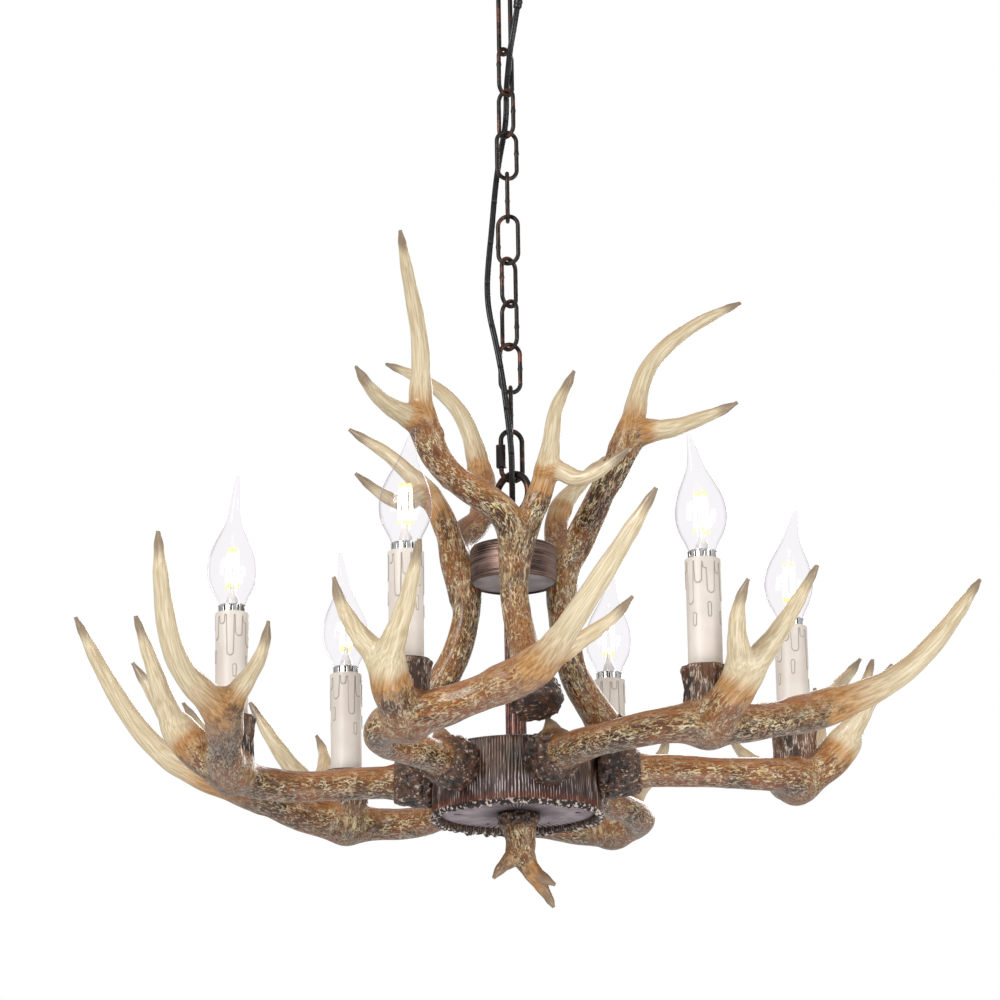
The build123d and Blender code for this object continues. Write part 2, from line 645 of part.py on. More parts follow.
crown_limbs = [branch(crown_beam, crown_beam_girth, (1, 0, 0)), branch(*crown_branches[0], (1, 0, 0))]
crown_limbs += [branch(points, girth, (0, 0, 1)) for points, girth in crown_branches[1:]]
crown_bolt_bore = round_bar(Vector(0, 0, crown_beam[4][2]), facing(crown_seat_turn),
                            crown_head_reach + bolt_head_height + crown_bolt_length + seat_gap,
                            crown_bolt_radius + hole_gap)
with BuildPart() as crown_casting:
    for limb in crown_limbs:
        add(limb)
    with BuildSketch(Plane.XY.offset(-collar_height)):
        Circle(collar_radius + seat_gap)
    extrude(amount=2 * collar_height, mode=Mode.SUBTRACT)
    add(crown_bolt_bore, mode=Mode.SUBTRACT)
for i, angle in enumerate(crown_angles):
    with BuildPart() as crown_antler:
        add(crown_casting.part.moved(Location((0, 0, collar_middle), (0, 0, angle))))
    save(crown_antler, f"crown_antler_{i + 1}")

finial_limbs = [branch(finial_stem, finial_stem_girth, (0, 1, 0))]
finial_limbs += [branch(points, girth, (0, 1, 0)) for points, girth in finial_branches]
with BuildPart() as finial_antler:
    for limb in finial_limbs:
        add(limb.moved(Location((0, 0, hub_bottom))))
    with BuildSketch(Plane.XY.offset(hub_floor)):
        Circle(hub_low_radius)
    extrude(amount=hub_height, mode=Mode.SUBTRACT)
    with BuildSketch(Plane.XY.offset(tie_rod_bottom - seat_gap)):
        Circle(tie_rod_radius + thread_gap)
    extrude(amount=2 * tie_rod_in_finial, mode=Mode.SUBTRACT)
save(finial_antler, "finial_antler")

# ---------------------------------------------------------------- candles and lamps
candle_places = [facing(angle) * cup_reach for angle in arm_angles]
holder_bottom = holder_top - holder_body
holder_parts = [
    (cup_floor, holder_radius, holder_base),
    (cup_floor, holder_stalk_radius, holder_bottom - cup_floor),
    (holder_bottom, holder_radius, holder_body - holder_collar_show - seat_gap),
    (holder_bottom, holder_collar_radius, holder_body),
]
with BuildPart() as lampholders:
    for floor, radius, height in holder_parts:
        with BuildSketch(Plane.XY.offset(floor)):
            with Locations(*candle_places):
                Circle(radius)
        extrude(amount=height)
    with BuildSketch(Plane.XY.offset(socket_floor)):
        with Locations(*candle_places):
            Circle(screw_radius + seat_gap)
    extrude(amount=screw_length * 2, mode=Mode.SUBTRACT)
save(lampholders, "lampholders")


def bulb_outline(height, inset):
    """Radius of the glass at each height above the neck, inset by the thickness of the glass."""
    tip = height - inset * 3
    stations = [(rise * bulb_belly, share * bulb_radius) for rise, share in bulb_girth]
    stations += [((stations[-1][0] + tip) / 2, bulb_flame_radius), (tip, bulb_tip_radius + inset)]
    return [(rise, max(bulb_hollow_radius, radius - inset)) for rise, radius in stations]


for i, place in enumerate(candle_places):
    with BuildPart() as candle_sleeve:
        with BuildSketch(Plane.XY.offset(cup_floor)):
            with Locations(place):
                Circle(sleeve_radius)
                Circle(sleeve_radius - sleeve_wall, mode=Mode.SUBTRACT)
        extrude(amount=sleeve_top - cup_floor)
    save(candle_sleeve, f"candle_sleeve_{i + 1}")

    with BuildPart() as bulb_cap:
        with BuildSketch(Plane.XY.offset(holder_top - screw_length)):
            with Locations(place):
                Circle(screw_radius)
        extrude(amount=screw_length + 2 * seat_gap)
        with BuildSketch(Plane.XY.offset(holder_top - screw_length)):
            with Locations(place):
                Circle(screw_pip_radius)
        extrude(amount=-screw_pip_height)
    save(bulb_cap, f"bulb_cap_{i + 1}")

    glass_skins = []
    for inset in (0, bulb_wall):
        with BuildPart() as skin:
            for rise, radius in bulb_outline(bulb_heights[i], inset):
                bend = bulb_bends[i] * max(0, (rise - bulb_belly) / (bulb_heights[i] - bulb_belly)) ** 2
                with BuildSketch(Plane.XY.offset(holder_top + seat_gap + rise)):
                    with Locations(place + Vector(bend, 0, 0)):
                        Circle(radius)
            loft()
        glass_skins.append(skin.part)
    with BuildPart() as bulb_glass:
        add(glass_skins[0])
        add(glass_skins[1], mode=Mode.SUBTRACT)
    save(bulb_glass, f"bulb_glass_{i + 1}")
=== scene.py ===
"""Six-light antler chandelier on a chain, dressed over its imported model.

Shapes are worked out in millimetres, in the part's own frame (origin at the ceiling, +Z up),
and written to the meshes in metres.
"""
import math

import bpy
import numpy as np
from mathutils import Matrix


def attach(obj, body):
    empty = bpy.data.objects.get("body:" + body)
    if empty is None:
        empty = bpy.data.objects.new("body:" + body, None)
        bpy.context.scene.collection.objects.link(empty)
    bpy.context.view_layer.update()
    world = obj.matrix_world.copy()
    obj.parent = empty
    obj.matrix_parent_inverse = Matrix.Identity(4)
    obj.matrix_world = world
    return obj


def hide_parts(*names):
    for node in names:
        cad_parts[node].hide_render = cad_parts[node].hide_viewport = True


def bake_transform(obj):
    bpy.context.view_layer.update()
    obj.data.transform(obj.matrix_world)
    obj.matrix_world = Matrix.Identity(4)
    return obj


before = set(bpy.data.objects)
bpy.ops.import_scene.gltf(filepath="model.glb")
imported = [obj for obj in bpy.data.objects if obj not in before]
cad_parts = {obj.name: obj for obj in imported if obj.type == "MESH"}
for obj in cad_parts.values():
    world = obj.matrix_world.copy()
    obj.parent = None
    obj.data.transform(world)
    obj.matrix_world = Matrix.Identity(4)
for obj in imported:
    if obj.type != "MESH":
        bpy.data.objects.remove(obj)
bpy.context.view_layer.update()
MM = 0.001
FULL_TURN = 2.0 * math.pi
X_AXIS, Y_AXIS, Z_AXIS = np.eye(3)

# ---- sizes shared with the part, in mm
HUB_TOP, HUB_MIDDLE, HUB_FOOT = -645.4, -670.15, -694.9
FLOOR_TOP, FLOOR_FOOT = -686.9, -689.9
COLLAR_TOP, COLLAR_MIDDLE, COLLAR_FOOT = -497.4, -511.0, -524.6
CUP_REACH, CUP_MOUTH = 200.0, HUB_MIDDLE + 45.0
CUP_FOOT, CUP_FLOOR = CUP_MOUTH - 36.0 + 2.0, CUP_MOUTH - 12.0
SLEEVE_TOP, HOLDER_TOP = -551.15, -545.55
ARM_TURNS = [-51.0 - 60.0 * i for i in range(6)]
CROWN_TURNS = [-86.0 + 120.0 * i for i in range(3)]
TINE_LIFTS = [0.0, 0.0, 0.0, 25.0, 0.0, 0.0]
BULB_HEIGHTS = [82.0, 80.0, 94.0, 88.0, 80.0, 80.0]
BULB_BENDS = [-7.0, 6.0, 4.0, -4.0, 5.0, 7.0]
LINK_LENGTH, LINK_WIDTH, LINK_WIRE = 39.6, 18.0, 3.2
LINK_CENTRES = [-133.0 - 32.9 * i for i in range(9)]
LINK_TURNS = [50.0, -45.0, 15.0, 90.0, -12.0, 48.0, -45.0, 15.0, 90.0]
# where each hinge of the chain lies; those of the links are 18.2 mm below their middles
JOINT_HEIGHTS = [-51.0, -118.45] + [centre - 18.2 for centre in LINK_CENTRES[:8]] + [-414.4, -448.1]


# ---- camera, as the photograph was taken
def in_scene(name, data):
    """A new object in the scene."""
    made = bpy.data.objects.new(name, data)
    bpy.context.scene.collection.objects.link(made)
    return made


def set_axes(made, side, top, back, place):
    """Turns and places an object by its own X, Y and Z directions and its origin, in metres."""
    turn = np.eye(4)
    turn[:3] = np.stack([side, top, back, place], 1)
    made.matrix_world = Matrix(turn.tolist())


def set_camera():
    """A long lens 2.6 m in front of the rod, below the hub, tilted up 16.2 degrees, rolled 0.9 degrees."""
    pitch, roll = math.radians(16.2085), math.radians(0.8849)
    up = np.array([0.0, -math.sin(pitch), math.cos(pitch)])
    forward = np.array([0.0, math.cos(pitch), math.sin(pitch)])
    side = math.cos(roll) * X_AXIS - math.sin(roll) * up
    top = math.sin(roll) * X_AXIS + math.cos(roll) * up
    camera = in_scene("camera", bpy.data.cameras.new("camera"))
    camera.data.sensor_width = 36.0
    camera.data.lens = 135.65
    set_axes(camera, side, top, -forward, np.array([-8.87, -2585.7, -1213.6]) * MM)
    bpy.context.scene.camera = camera


set_camera()


# ---- small makers
def facing(angle):
    """Level direction turned by the angle from +X."""
    return np.array([math.cos(math.radians(angle)), math.sin(math.radians(angle)), 0.0])


def turned(points, angle, rise=0.0):
    """The points turned about the vertical axis and raised, all in mm."""
    c, s = math.cos(math.radians(angle)), math.sin(math.radians(angle))
    return points @ np.array([[c, s, 0.0], [-s, c, 0.0], [0.0, 0.0, 1.0]]) + (0.0, 0.0, rise)


def ease(value, low, high):
    """0 below low, 1 above high, and a smooth step between."""
    t = np.clip((value - low) / (high - low), 0.0, 1.0)
    return t * t * (3.0 - 2.0 * t)


def unit(vectors):
    """Each row divided by its length."""
    return vectors / np.maximum(np.linalg.norm(vectors, axis=-1), 1e-6)[..., None]


def travelled(points):
    """Distance along the points, from the first to each."""
    return np.r_[0.0, np.cumsum(np.linalg.norm(np.diff(points, axis=0), axis=1))]


def turn_angles(columns):
    """The angles of so many columns spread evenly round a full turn."""
    return np.linspace(0.0, FULL_TURN, columns, endpoint=False)


def on_drum(angle, radius, height):
    """Points at an angle round the vertical axis, a distance from it and a height."""
    return np.stack([radius * np.cos(angle), radius * np.sin(angle), height], 1)


def off_axis(points, centre=(0.0, 0.0)):
    """Angle and distance of each point round an upright axis."""
    x, y = points[:, 0] - centre[0], points[:, 1] - centre[1]
    return np.arctan2(y, x), np.hypot(x, y)


def lattice_noise(p, seed=0):
    """Smooth noise from -1 to 1: hashed values on whole-number points, eased between them."""
    cell = np.floor(p).astype(np.int64)
    f = p - cell
    f = f * f * (3.0 - 2.0 * f)
    total = np.zeros(len(p))
    # three large primes scatter the points, a fourth the seeds, and two shifts mix the bits
    for corner in range(8):
        step = np.array([corner & 1, corner >> 1 & 1, corner >> 2 & 1])
        at = cell + step
        h = at[:, 0] * 73856093 ^ at[:, 1] * 19349663 ^ at[:, 2] * 83492791 ^ seed * 2654435761
        h = (h ^ (h >> 13)) * 1274126177 & 0xFFFFFFFF
        value = (h ^ (h >> 16) & 0xFFFF) & 0xFFFF
        weight = np.prod(np.where(step == 1, f, 1.0 - f), axis=1)
        total += weight * (value / 32767.5 - 1.0)
    return total


def outwards(points, faces):
    """The faces of a closed skin, turned round where its volume comes out negative."""
    fans = np.vstack([faces[:, [0, k, k + 1]] for k in range(1, faces.shape[1] - 1)])
    a, b, c = points[fans].transpose(1, 0, 2)
    return faces if (a * np.cross(b, c)).sum() >= 0.0 else np.roll(faces[:, ::-1], 1, axis=1)


def dress(piece, finish):
    """The piece with this finish alone."""
    piece.data.materials.clear()
    piece.data.materials.append(finish)


def make_piece(name, points, faces, finish, body=None, replaces=(), slot=None, fields=None):
    """A mesh piece from points in mm and an array of quads or triangles, riding on a body."""
    mesh = bpy.data.meshes.new(name)
    faces = outwards(points, faces)
    mesh.vertices.add(len(points))
    mesh.vertices.foreach_set("co", (points * MM).astype(np.float32).ravel())
    mesh.loops.add(faces.size)
    mesh.loops.foreach_set("vertex_index", faces.astype(np.int32).ravel())
    mesh.polygons.add(len(faces))
    mesh.polygons.foreach_set("loop_start", np.arange(0, faces.size, faces.shape[1], dtype=np.int32))
    mesh.update(calc_edges=True)
    mesh.validate()
    mesh.polygons.foreach_set("use_smooth", np.full(len(mesh.polygons), True))
    for key, values in (fields or {}).items():
        values = np.asarray(values, np.float32)
        kind, channel = ("FLOAT", "value") if values.ndim == 1 else ("FLOAT_VECTOR", "vector")
        mesh.attributes.new(key, kind, "POINT").data.foreach_set(channel, values.ravel())
    piece = in_scene(name, mesh)
    dress(piece, finish)
    if body:
        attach(piece, body)
    if replaces:
        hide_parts(*replaces)
    return piece


def grid_faces(rows, columns, closed=True):
    """Quads of a grid that wraps round its columns; with closed it also wraps round its rows."""
    r = np.arange(rows if closed else rows - 1)[:, None] * columns
    c = np.arange(columns)
    a, b = r + c, r + (c + 1) % columns
    return (np.stack([a, b, b + columns, a + columns], -1) % (rows * columns)).reshape(-1, 4)


def lathe(profile, columns, centre=(0.0, 0.0), relief=None):
    """A closed profile of (radius, height) turned about an upright axis.

    relief(angle, radius, height) adds to the radius.
    """
    radius, height = np.repeat(profile[:, 0], columns), np.repeat(profile[:, 1], columns)
    angle = np.tile(turn_angles(columns), len(profile))
    if relief is not None:
        radius = radius + relief(angle, radius, height)
    return on_drum(angle, radius, height) + (centre[0], centre[1], 0.0), grid_faces(len(profile), columns)


def densify(profile, step):
    """The closed profile with points added so that none stand farther apart than step."""
    out = []
    profile = [np.asarray(p, float) for p in profile]
    for here, there in zip(profile, profile[1:] + profile[:1]):
        count = max(1, int(np.ceil(np.linalg.norm(there - here) / step)))
        out += [here + (there - here) * k / count for k in range(count)]
    return np.array(out)


def square_to(path, across):
    """Two directions square to the path at each of its points, the first of them also to across."""
    along = unit(np.gradient(path, axis=0))
    side = unit(np.cross(across, along))
    return side, np.cross(along, side)


def rings(path, radius, side, lift, columns):
    """A ring of points round each point of a path, turned from the side direction to the lift."""
    angle = turn_angles(columns)[:, None]
    ring = np.cos(angle) * side[..., None, :] + np.sin(angle) * lift[:, None]
    return (path[:, None] + radius[..., None] * ring).reshape(-1, 3)


def tube(path, radius, columns, across, shape=None):
    """A tube along a path of points in mm; radius is one number or one for each point.

    Each ring lies square to the path, laid out against the across direction.  shape(angle) scales
    the radius round the ring.  Each end closes on a point at the middle of its ring.
    """
    radius = np.broadcast_to(radius, len(path))[:, None] * (shape(turn_angles(columns)) if shape else 1.0)
    points = rings(path, radius, *square_to(path, across), columns)
    quads = grid_faces(len(path), columns, closed=False)
    c, far = np.arange(columns), len(points) - columns
    d = (c + 1) % columns
    start = np.stack([np.full(columns, len(points)), d, c], 1)
    end = np.stack([np.full(columns, len(points) + 1), far + c, far + d], 1)
    faces = np.vstack([quads[:, :3], quads[:, [0, 2, 3]], start, end])
    return np.vstack([points, path[:1], path[-1:]]), faces


def smooth_line(points, step):
    """Natural cubic spline through the points by chord length, then points a step apart along it."""
    p = np.asarray(points, float)
    u = travelled(p)
    h = np.diff(u)
    n = len(p)
    system = np.eye(n)
    right = np.zeros((n, 3))
    k = np.arange(1, n - 1)
    system[k, k - 1], system[k, k], system[k, k + 1] = h[:-1], 2.0 * (h[:-1] + h[1:]), h[1:]
    slope = np.diff(p, axis=0) / h[:, None]
    right[1:-1] = 6.0 * np.diff(slope, axis=0)
    bend = np.linalg.solve(system, right)
    t = np.linspace(0.0, u[-1], 1500)
    i = np.clip(np.searchsorted(u, t) - 1, 0, n - 2)
    a, b, w = (u[i + 1] - t)[:, None], (t - u[i])[:, None], h[i][:, None]
    line = (bend[i] * a ** 3 + bend[i + 1] * b ** 3) / (6.0 * w)
    line += (p[i] / w - bend[i] * w / 6.0) * a + (p[i + 1] / w - bend[i + 1] * w / 6.0) * b
    length = travelled(line)
    s = np.linspace(0.0, length[-1], int(length[-1] / step) + 2)
    return np.stack([np.interp(s, length, line[:, axis]) for axis in range(3)], 1), s


# ---- materials
# a word for each node that is used: its kind, its settings and, where it isn't the first, its output
NODES = {word: ("Math", {"operation": operation}) for word, operation in (
    ("plus", "ADD"), ("minus", "SUBTRACT"), ("times", "MULTIPLY"), ("larger", "MAXIMUM"),
    ("size", "ABSOLUTE"), ("cosine", "COSINE"), ("turn", "ARCTAN2"))}
NODES.update({
    "mix": ("Mix", {"data_type": "RGBA"}), "mix_values": ("Mix", {"data_type": "FLOAT"}),
    "remap": ("MapRange", {"interpolation_type": "SMOOTHSTEP"}),
    "stretch": ("VectorMath", {"operation": "MULTIPLY"}), "split": ("SeparateXYZ", {}),
    "noise": ("TexNoise", {}), "bump": ("Bump", {}), "rays": ("LightPath", {}),
    "field": ("Attribute", {}, "Fac"), "vectors": ("Attribute", {}, "Vector"),
    "place": ("TexCoord", {}, "Object"), "rim": ("LayerWeight", {}, "Facing"),
    "clear": ("BsdfTransparent", {}), "gloss": ("BsdfGlossy", {}), "blend": ("MixShader", {})})


def paint(code):
    """An sRGB hex colour as linear red, green, blue and alpha."""
    rgb = [int(code[i:i + 2], 16) / 255.0 for i in (1, 3, 5)]
    return [c / 12.92 if c <= 0.04045 else ((c + 0.055) / 1.055) ** 2.4 for c in rgb] + [1.0]


def feed(node, inputs):
    """Fills a node's inputs: a socket is linked, a hex code painted and a number set."""
    for key, value in inputs.items():
        if isinstance(value, bpy.types.NodeSocket):
            node.id_data.links.new(value, node.inputs[key])
        else:
            node.inputs[key].default_value = paint(value) if isinstance(value, str) else value


def add(owner, word, *values, **named):
    """One more node of a material or the world, as the output that is read from it.

    The values fill its open inputs in order; a named one fills the input of that name, or else is
    one of the node's settings.
    """
    kind, settings, *output = NODES[word]
    node = owner.node_tree.nodes.new("ShaderNode" + kind)
    inputs = {key: value for key, value in named.items() if key in node.inputs}
    for key, value in {**settings, **named}.items():
        if key not in inputs:
            setattr(node, key, value)
    free = [i for i, socket in enumerate(node.inputs) if socket.enabled]
    feed(node, {**dict(zip(free, values)), **inputs})
    return node.outputs[output[0]] if output else next(s for s in node.outputs if s.enabled)


def shade(material, value, span, first, second):
    """The first colour below the span and the second above it, eased between."""
    return add(material, "mix", add(material, "remap", value, *span), first, second)


def new_material(name):
    """A material and its Principled shader."""
    material = bpy.data.materials.new(name)
    material.use_nodes = True
    return material, material.node_tree.nodes["Principled BSDF"]


def worm_lines(m, at, scale, width):
    """Thin raised lines that wander, where a noise crosses its middle value."""
    value = add(m, "noise", add(m, "stretch", at, scale), Scale=1.0, Detail=1.5, Distortion=0.6)
    return add(m, "remap", add(m, "size", add(m, "minus", value, 0.5)), 0.0, width, 1.0, 0.0)


def antler_material():
    """Cast polyester resin, painted: dark wash in the grooves, gold dry-brushed on the worm-like
    ridges of the beam, silver-mauve underneath as a painted highlight, then tan to ivory on the
    polished tines and grey-brown at their tips."""
    m, shader = new_material("painted_cast_resin")
    place = add(m, "place")
    worms, streaks = [], []
    for key in ("grain_a", "grain_b"):
        at = add(m, "vectors", attribute_name=key)
        # ridges stand about 2 mm apart and run 6 mm or so along the beam, over a wider net
        small = worm_lines(m, at, (165.0, 470.0, 470.0), 0.08)
        wide = worm_lines(m, at, (100.0, 300.0, 300.0), 0.04)
        worms.append(add(m, "larger", small, wide))
        # streaks of the tines' grain, 1 mm across and 25 mm long
        streaks.append(add(m, "noise", add(m, "stretch", at, (38.0, 900.0, 900.0)), Scale=1.0, Detail=3.0))
    share = add(m, "field", attribute_name="share_b")
    worm, streak = add(m, "mix_values", share, *worms), add(m, "mix_values", share, *streaks)
    polish, tip, burr = add(m, "split", add(m, "vectors", attribute_name="zones")).node.outputs
    top = add(m, "field", attribute_name="lit_top")
    relief = add(m, "field", attribute_name="relief")
    # patches of paint 36 mm and 8 mm across
    cloud = add(m, "noise", place, Scale=28.0, Detail=3.0)
    patch = add(m, "noise", place, Scale=120.0, Detail=3.0, Roughness=0.6)
    # the beam: brown, darker in its hollows and smooth on top, with gold on the worm lines that
    # turns silver-mauve underneath as a painted highlight
    ground = shade(m, cloud, (0.38, 0.62), "#3f1f10", "#86481c")
    ground = shade(m, relief, (-0.7, -0.1, 0.85, 0.0), ground, "#21120c")
    smooth_top = shade(m, streak, (0.35, 0.65), "#7a4119", "#ac6a2e")
    gold = shade(m, patch, (0.35, 0.65), "#c29552", "#f0deb2")
    # painted highlight: where the beam faces down, the gold turns silver-mauve, for light from below
    gold = shade(m, top, (0.35, 0.05, 0.0, 0.7), gold, "#a8978c")
    dry = add(m, "times", worm, add(m, "remap", top, 0.95, 0.45, 0.15, 1.0))
    dry = add(m, "times", dry, add(m, "remap", patch, 0.25, 0.5, 0.6, 1.0))
    beam = add(m, "mix", dry, shade(m, top, (0.35, 0.8), ground, smooth_top), gold)
    # the tines: tan where they leave the beam, ivory beyond, tan again on top
    tan = shade(m, streak, (0.3, 0.7), "#99632f", "#c99c62")
    ivory = shade(m, streak, (0.3, 0.7), "#bfaa85", "#e4d6b6")
    ivory = shade(m, top, (0.55, 0.95, 0.0, 0.45), ivory, "#c08e54")
    tine = shade(m, polish, (0.45, 1.0), tan, ivory)
    edge = add(m, "plus", polish, add(m, "remap", patch, 0.3, 0.7, -0.16, 0.16))
    colour = shade(m, edge, (0.12, 0.5), beam, tine)
    colour = shade(m, tip, (0.35, 1.0, 0.0, 0.8), colour, "#7b6552")
    # the burr: dark, with pale specks 2 mm apart on its pearls, a painted highlight
    dark = shade(m, relief, (-0.1, 1.1), "#23140d", "#5a3723")
    specks = add(m, "remap", add(m, "noise", place, Scale=480.0, Detail=1.0), 0.6, 0.68)
    specks = add(m, "times", specks, add(m, "remap", relief, 0.0, 0.7, 0.05, 0.7))
    dark = add(m, "mix", specks, dark, "#d6c6ba")
    # the worm lines stand out where the beam is rough and its side is seen
    rise = add(m, "times", worm, add(m, "remap", edge, 0.55, 0.1, 0.0, 1.0))
    rise = add(m, "times", rise, add(m, "remap", top, 0.9, 0.3, 0.15, 1.0))
    rise = add(m, "plus", rise, add(m, "times", streak, 0.25))
    feed(shader, {"Base Color": add(m, "mix", burr, colour, dark),
                  "Roughness": add(m, "remap", worm, 0.0, 1.0, 0.36, 0.46), "IOR": 1.5,
                  "Coat Weight": 0.35, "Coat Roughness": 0.22,
                  "Normal": add(m, "bump", Height=rise, Strength=0.9, Distance=0.9 * MM)})
    return m


def cup_material():
    """Cast resin with a bark surface: a dark wash low in the relief, a pale dry brush on its crests.
    The bark's chips are 0.7 mm across and 7 mm tall."""
    m, shader = new_material("cup_bark_cast_resin")
    place = add(m, "place")
    relief = add(m, "field", attribute_name="relief")
    chips = add(m, "noise", add(m, "stretch", place, (1.0, 1.0, 0.1)), Scale=1500.0, Detail=3.0)
    patch = add(m, "noise", place, Scale=60.0, Detail=3.0)   # 17 mm across
    crest = add(m, "times", add(m, "minus", chips, 0.5), 3.4)
    crest = add(m, "remap", add(m, "plus", add(m, "times", relief, 0.45), crest), 0.1, 0.62)
    colour = shade(m, patch, (0.35, 0.65), "#2a1a12", "#68452e")
    feed(shader, {"Base Color": shade(m, crest, (0.0, 1.0, 0.0, 0.9), colour, "#c8b8a8"), "Roughness": 0.48,
                  "Normal": add(m, "bump", Height=chips, Strength=0.6, Distance=0.7 * MM)})
    return m


def hub_material():
    """Cast resin drum with fine upright bark lines 2 mm apart, near-black brown between them: pale
    brown crests above, partly dry brush and partly painted highlight; silver-mauve ones in the lower
    band, a painted highlight that fades at the left and right sides; and red-brown at the foot."""
    m, shader = new_material("bark_cast_resin")
    place = add(m, "place")
    axes = add(m, "split", place).node.outputs
    sway = add(m, "noise", add(m, "stretch", place, (70.0, 70.0, 28.0)), Scale=1.0)
    chips = add(m, "noise", add(m, "stretch", place, (520.0, 520.0, 90.0)), Scale=1.0, Detail=3.0)
    patch = add(m, "noise", place, Scale=60.0, Detail=3.0)   # 17 mm across
    # 182 radians for each radian round the drum: lines 2.1 mm apart on its 60 mm radius
    turn = add(m, "times", add(m, "turn", axes["Y"], axes["X"]), 182.0)
    wave = add(m, "cosine", add(m, "plus", turn, add(m, "times", sway, 14.0)))
    crest = add(m, "times", add(m, "remap", wave, 0.1, 0.95), add(m, "remap", chips, 0.42, 0.56))
    ground = shade(m, patch, (0.35, 0.65), "#20120d", "#482a1d")
    # pale crests: partly dry brush and partly painted highlight on the ridges
    colour = add(m, "mix", add(m, "times", crest, 0.7), ground, "#b09884")
    # painted highlight: silver-mauve crests in the lower band, faded at the left and right sides
    band = add(m, "times", add(m, "field", attribute_name="band"), 0.85)
    colour = add(m, "mix", band, colour, add(m, "mix", crest, "#3e2926", "#e2d6d6"))
    red_foot = add(m, "mix", crest, "#5e2f20", "#b98c78")
    colour = add(m, "mix", add(m, "field", attribute_name="foot"), colour, red_foot)
    # beads about 2 mm across on the rim
    beads = shade(m, add(m, "noise", place, Scale=420.0, Detail=1.0), (0.53, 0.62), "#1d110e", "#d8c6bc")
    feed(shader, {"Base Color": add(m, "mix", add(m, "field", attribute_name="rim"), colour, beads),
                  "Roughness": 0.4, "Normal": add(m, "bump", Height=crest, Strength=0.7, Distance=0.6 * MM)})
    return m


def bronze_material():
    """Steel wire with a near-black bronze lacquer, rubbed back to copper on its high places, in
    patches 8 mm across with specks of 1 mm."""
    m, shader = new_material("rubbed_bronze_lacquer")
    place = add(m, "place")
    rub = add(m, "noise", place, Scale=120.0, Detail=5.0, Roughness=0.65)
    specks = add(m, "noise", place, Scale=900.0)
    share = add(m, "plus", rub, add(m, "times", add(m, "minus", specks, 0.5), 0.25))
    worn = add(m, "remap", share, 0.52, 0.66)
    feed(shader, {"Base Color": add(m, "mix", worn, "#1a1411", "#7c5140"),
                  "Metallic": add(m, "remap", worn, 0.0, 1.0, 0.25, 0.9),
                  "Roughness": add(m, "remap", specks, 0.3, 0.7, 0.3, 0.48),
                  "Normal": add(m, "bump", Height=share, Strength=0.25, Distance=0.3 * MM)})
    return m


def copper_material():
    """Antique copper plate, brushed round the collar in 0.5 mm lines, with brown left in the scratches."""
    m, shader = new_material("brushed_antique_copper")
    place = add(m, "place")
    lines = add(m, "stretch", place, (12.0, 12.0, 2000.0))
    scratches = add(m, "noise", lines, Scale=1.0, Detail=4.0, Roughness=0.7)
    patch = add(m, "noise", place, Scale=45.0, Detail=3.0)   # 22 mm across
    share = add(m, "plus", scratches, add(m, "times", add(m, "minus", patch, 0.5), 0.5))
    feed(shader, {"Base Color": shade(m, share, (0.36, 0.62), "#1f1512", "#8f756b"), "Metallic": 0.85,
                  "Roughness": add(m, "remap", scratches, 0.3, 0.7, 0.55, 0.4),
                  "Normal": add(m, "bump", Height=scratches, Strength=0.3, Distance=0.2 * MM)})
    return m


def plain_material(name, colour, tint, rough, metal=0.0, scale=150.0, bump_mm=0.05, coat=0.0):
    """A painted, moulded or plated surface whose colour and sheen drift a little, in patches of
    1000 / scale mm."""
    m, shader = new_material(name)
    place = add(m, "place")
    drift = add(m, "noise", place, Scale=scale, Detail=4.0)
    feed(shader, {"Base Color": shade(m, drift, (0.3, 0.7), colour, tint), "Metallic": metal,
                  "Roughness": add(m, "remap", drift, 0.3, 0.7, rough * 0.85, min(1.0, rough * 1.15)),
                  "Coat Weight": coat,
                  "Normal": add(m, "bump", Height=drift, Strength=0.4, Distance=bump_mm * MM)})
    return m


def wax_material():
    """Ivory polypropylene sleeve, satin, with a brown wash caught along the moulded wax runs."""
    m, shader = new_material("ivory_candle_sleeve")
    place = add(m, "place")
    body = shade(m, add(m, "noise", place, Scale=30.0, Detail=3.0), (0.3, 0.7), "#d6ccc2", "#e4dbd2")
    wash = add(m, "field", attribute_name="wash")
    grain = add(m, "noise", place, Scale=700.0)   # 1.4 mm
    feed(shader, {"Base Color": shade(m, wash, (0.15, 0.9, 0.0, 0.8), body, "#7f7264"), "Roughness": 0.42,
                  "Subsurface Weight": 0.12, "Subsurface Radius": (0.004, 0.003, 0.002),
                  "Normal": add(m, "bump", Height=grain, Strength=0.15, Distance=0.2 * MM)})
    return m


def glass_material():
    """Thin clear blown glass with a faint lilac coating: nearly all light passes, and the rim
    and the highlights show."""
    m, shader = new_material("thin_lilac_glass")
    m.node_tree.nodes.remove(shader)
    share = add(m, "remap", add(m, "rim", Blend=0.32), 0.3, 0.95, 0.04, 0.75)
    skin = add(m, "blend", share, add(m, "clear", "#fefdfe"), add(m, "gloss", "#d6cdd8", Roughness=0.03))
    feed(m.node_tree.nodes["Material Output"], {"Surface": skin})
    return m


def glow_material():
    """Coated filament rods: white-hot along the middle and yellow at the ends, brighter than a lit
    surface."""
    m, shader = new_material("glowing_filament")
    middle = add(m, "field", attribute_name="rod_middle")
    colour = add(m, "mix", middle, "#f4e68a", "#fffaf0")
    feed(shader, {"Base Color": colour, "Emission Color": colour, "Roughness": 0.5,
                  "Emission Strength": add(m, "remap", middle, 0.3, 1.0, 0.9, 9.0)})
    return m


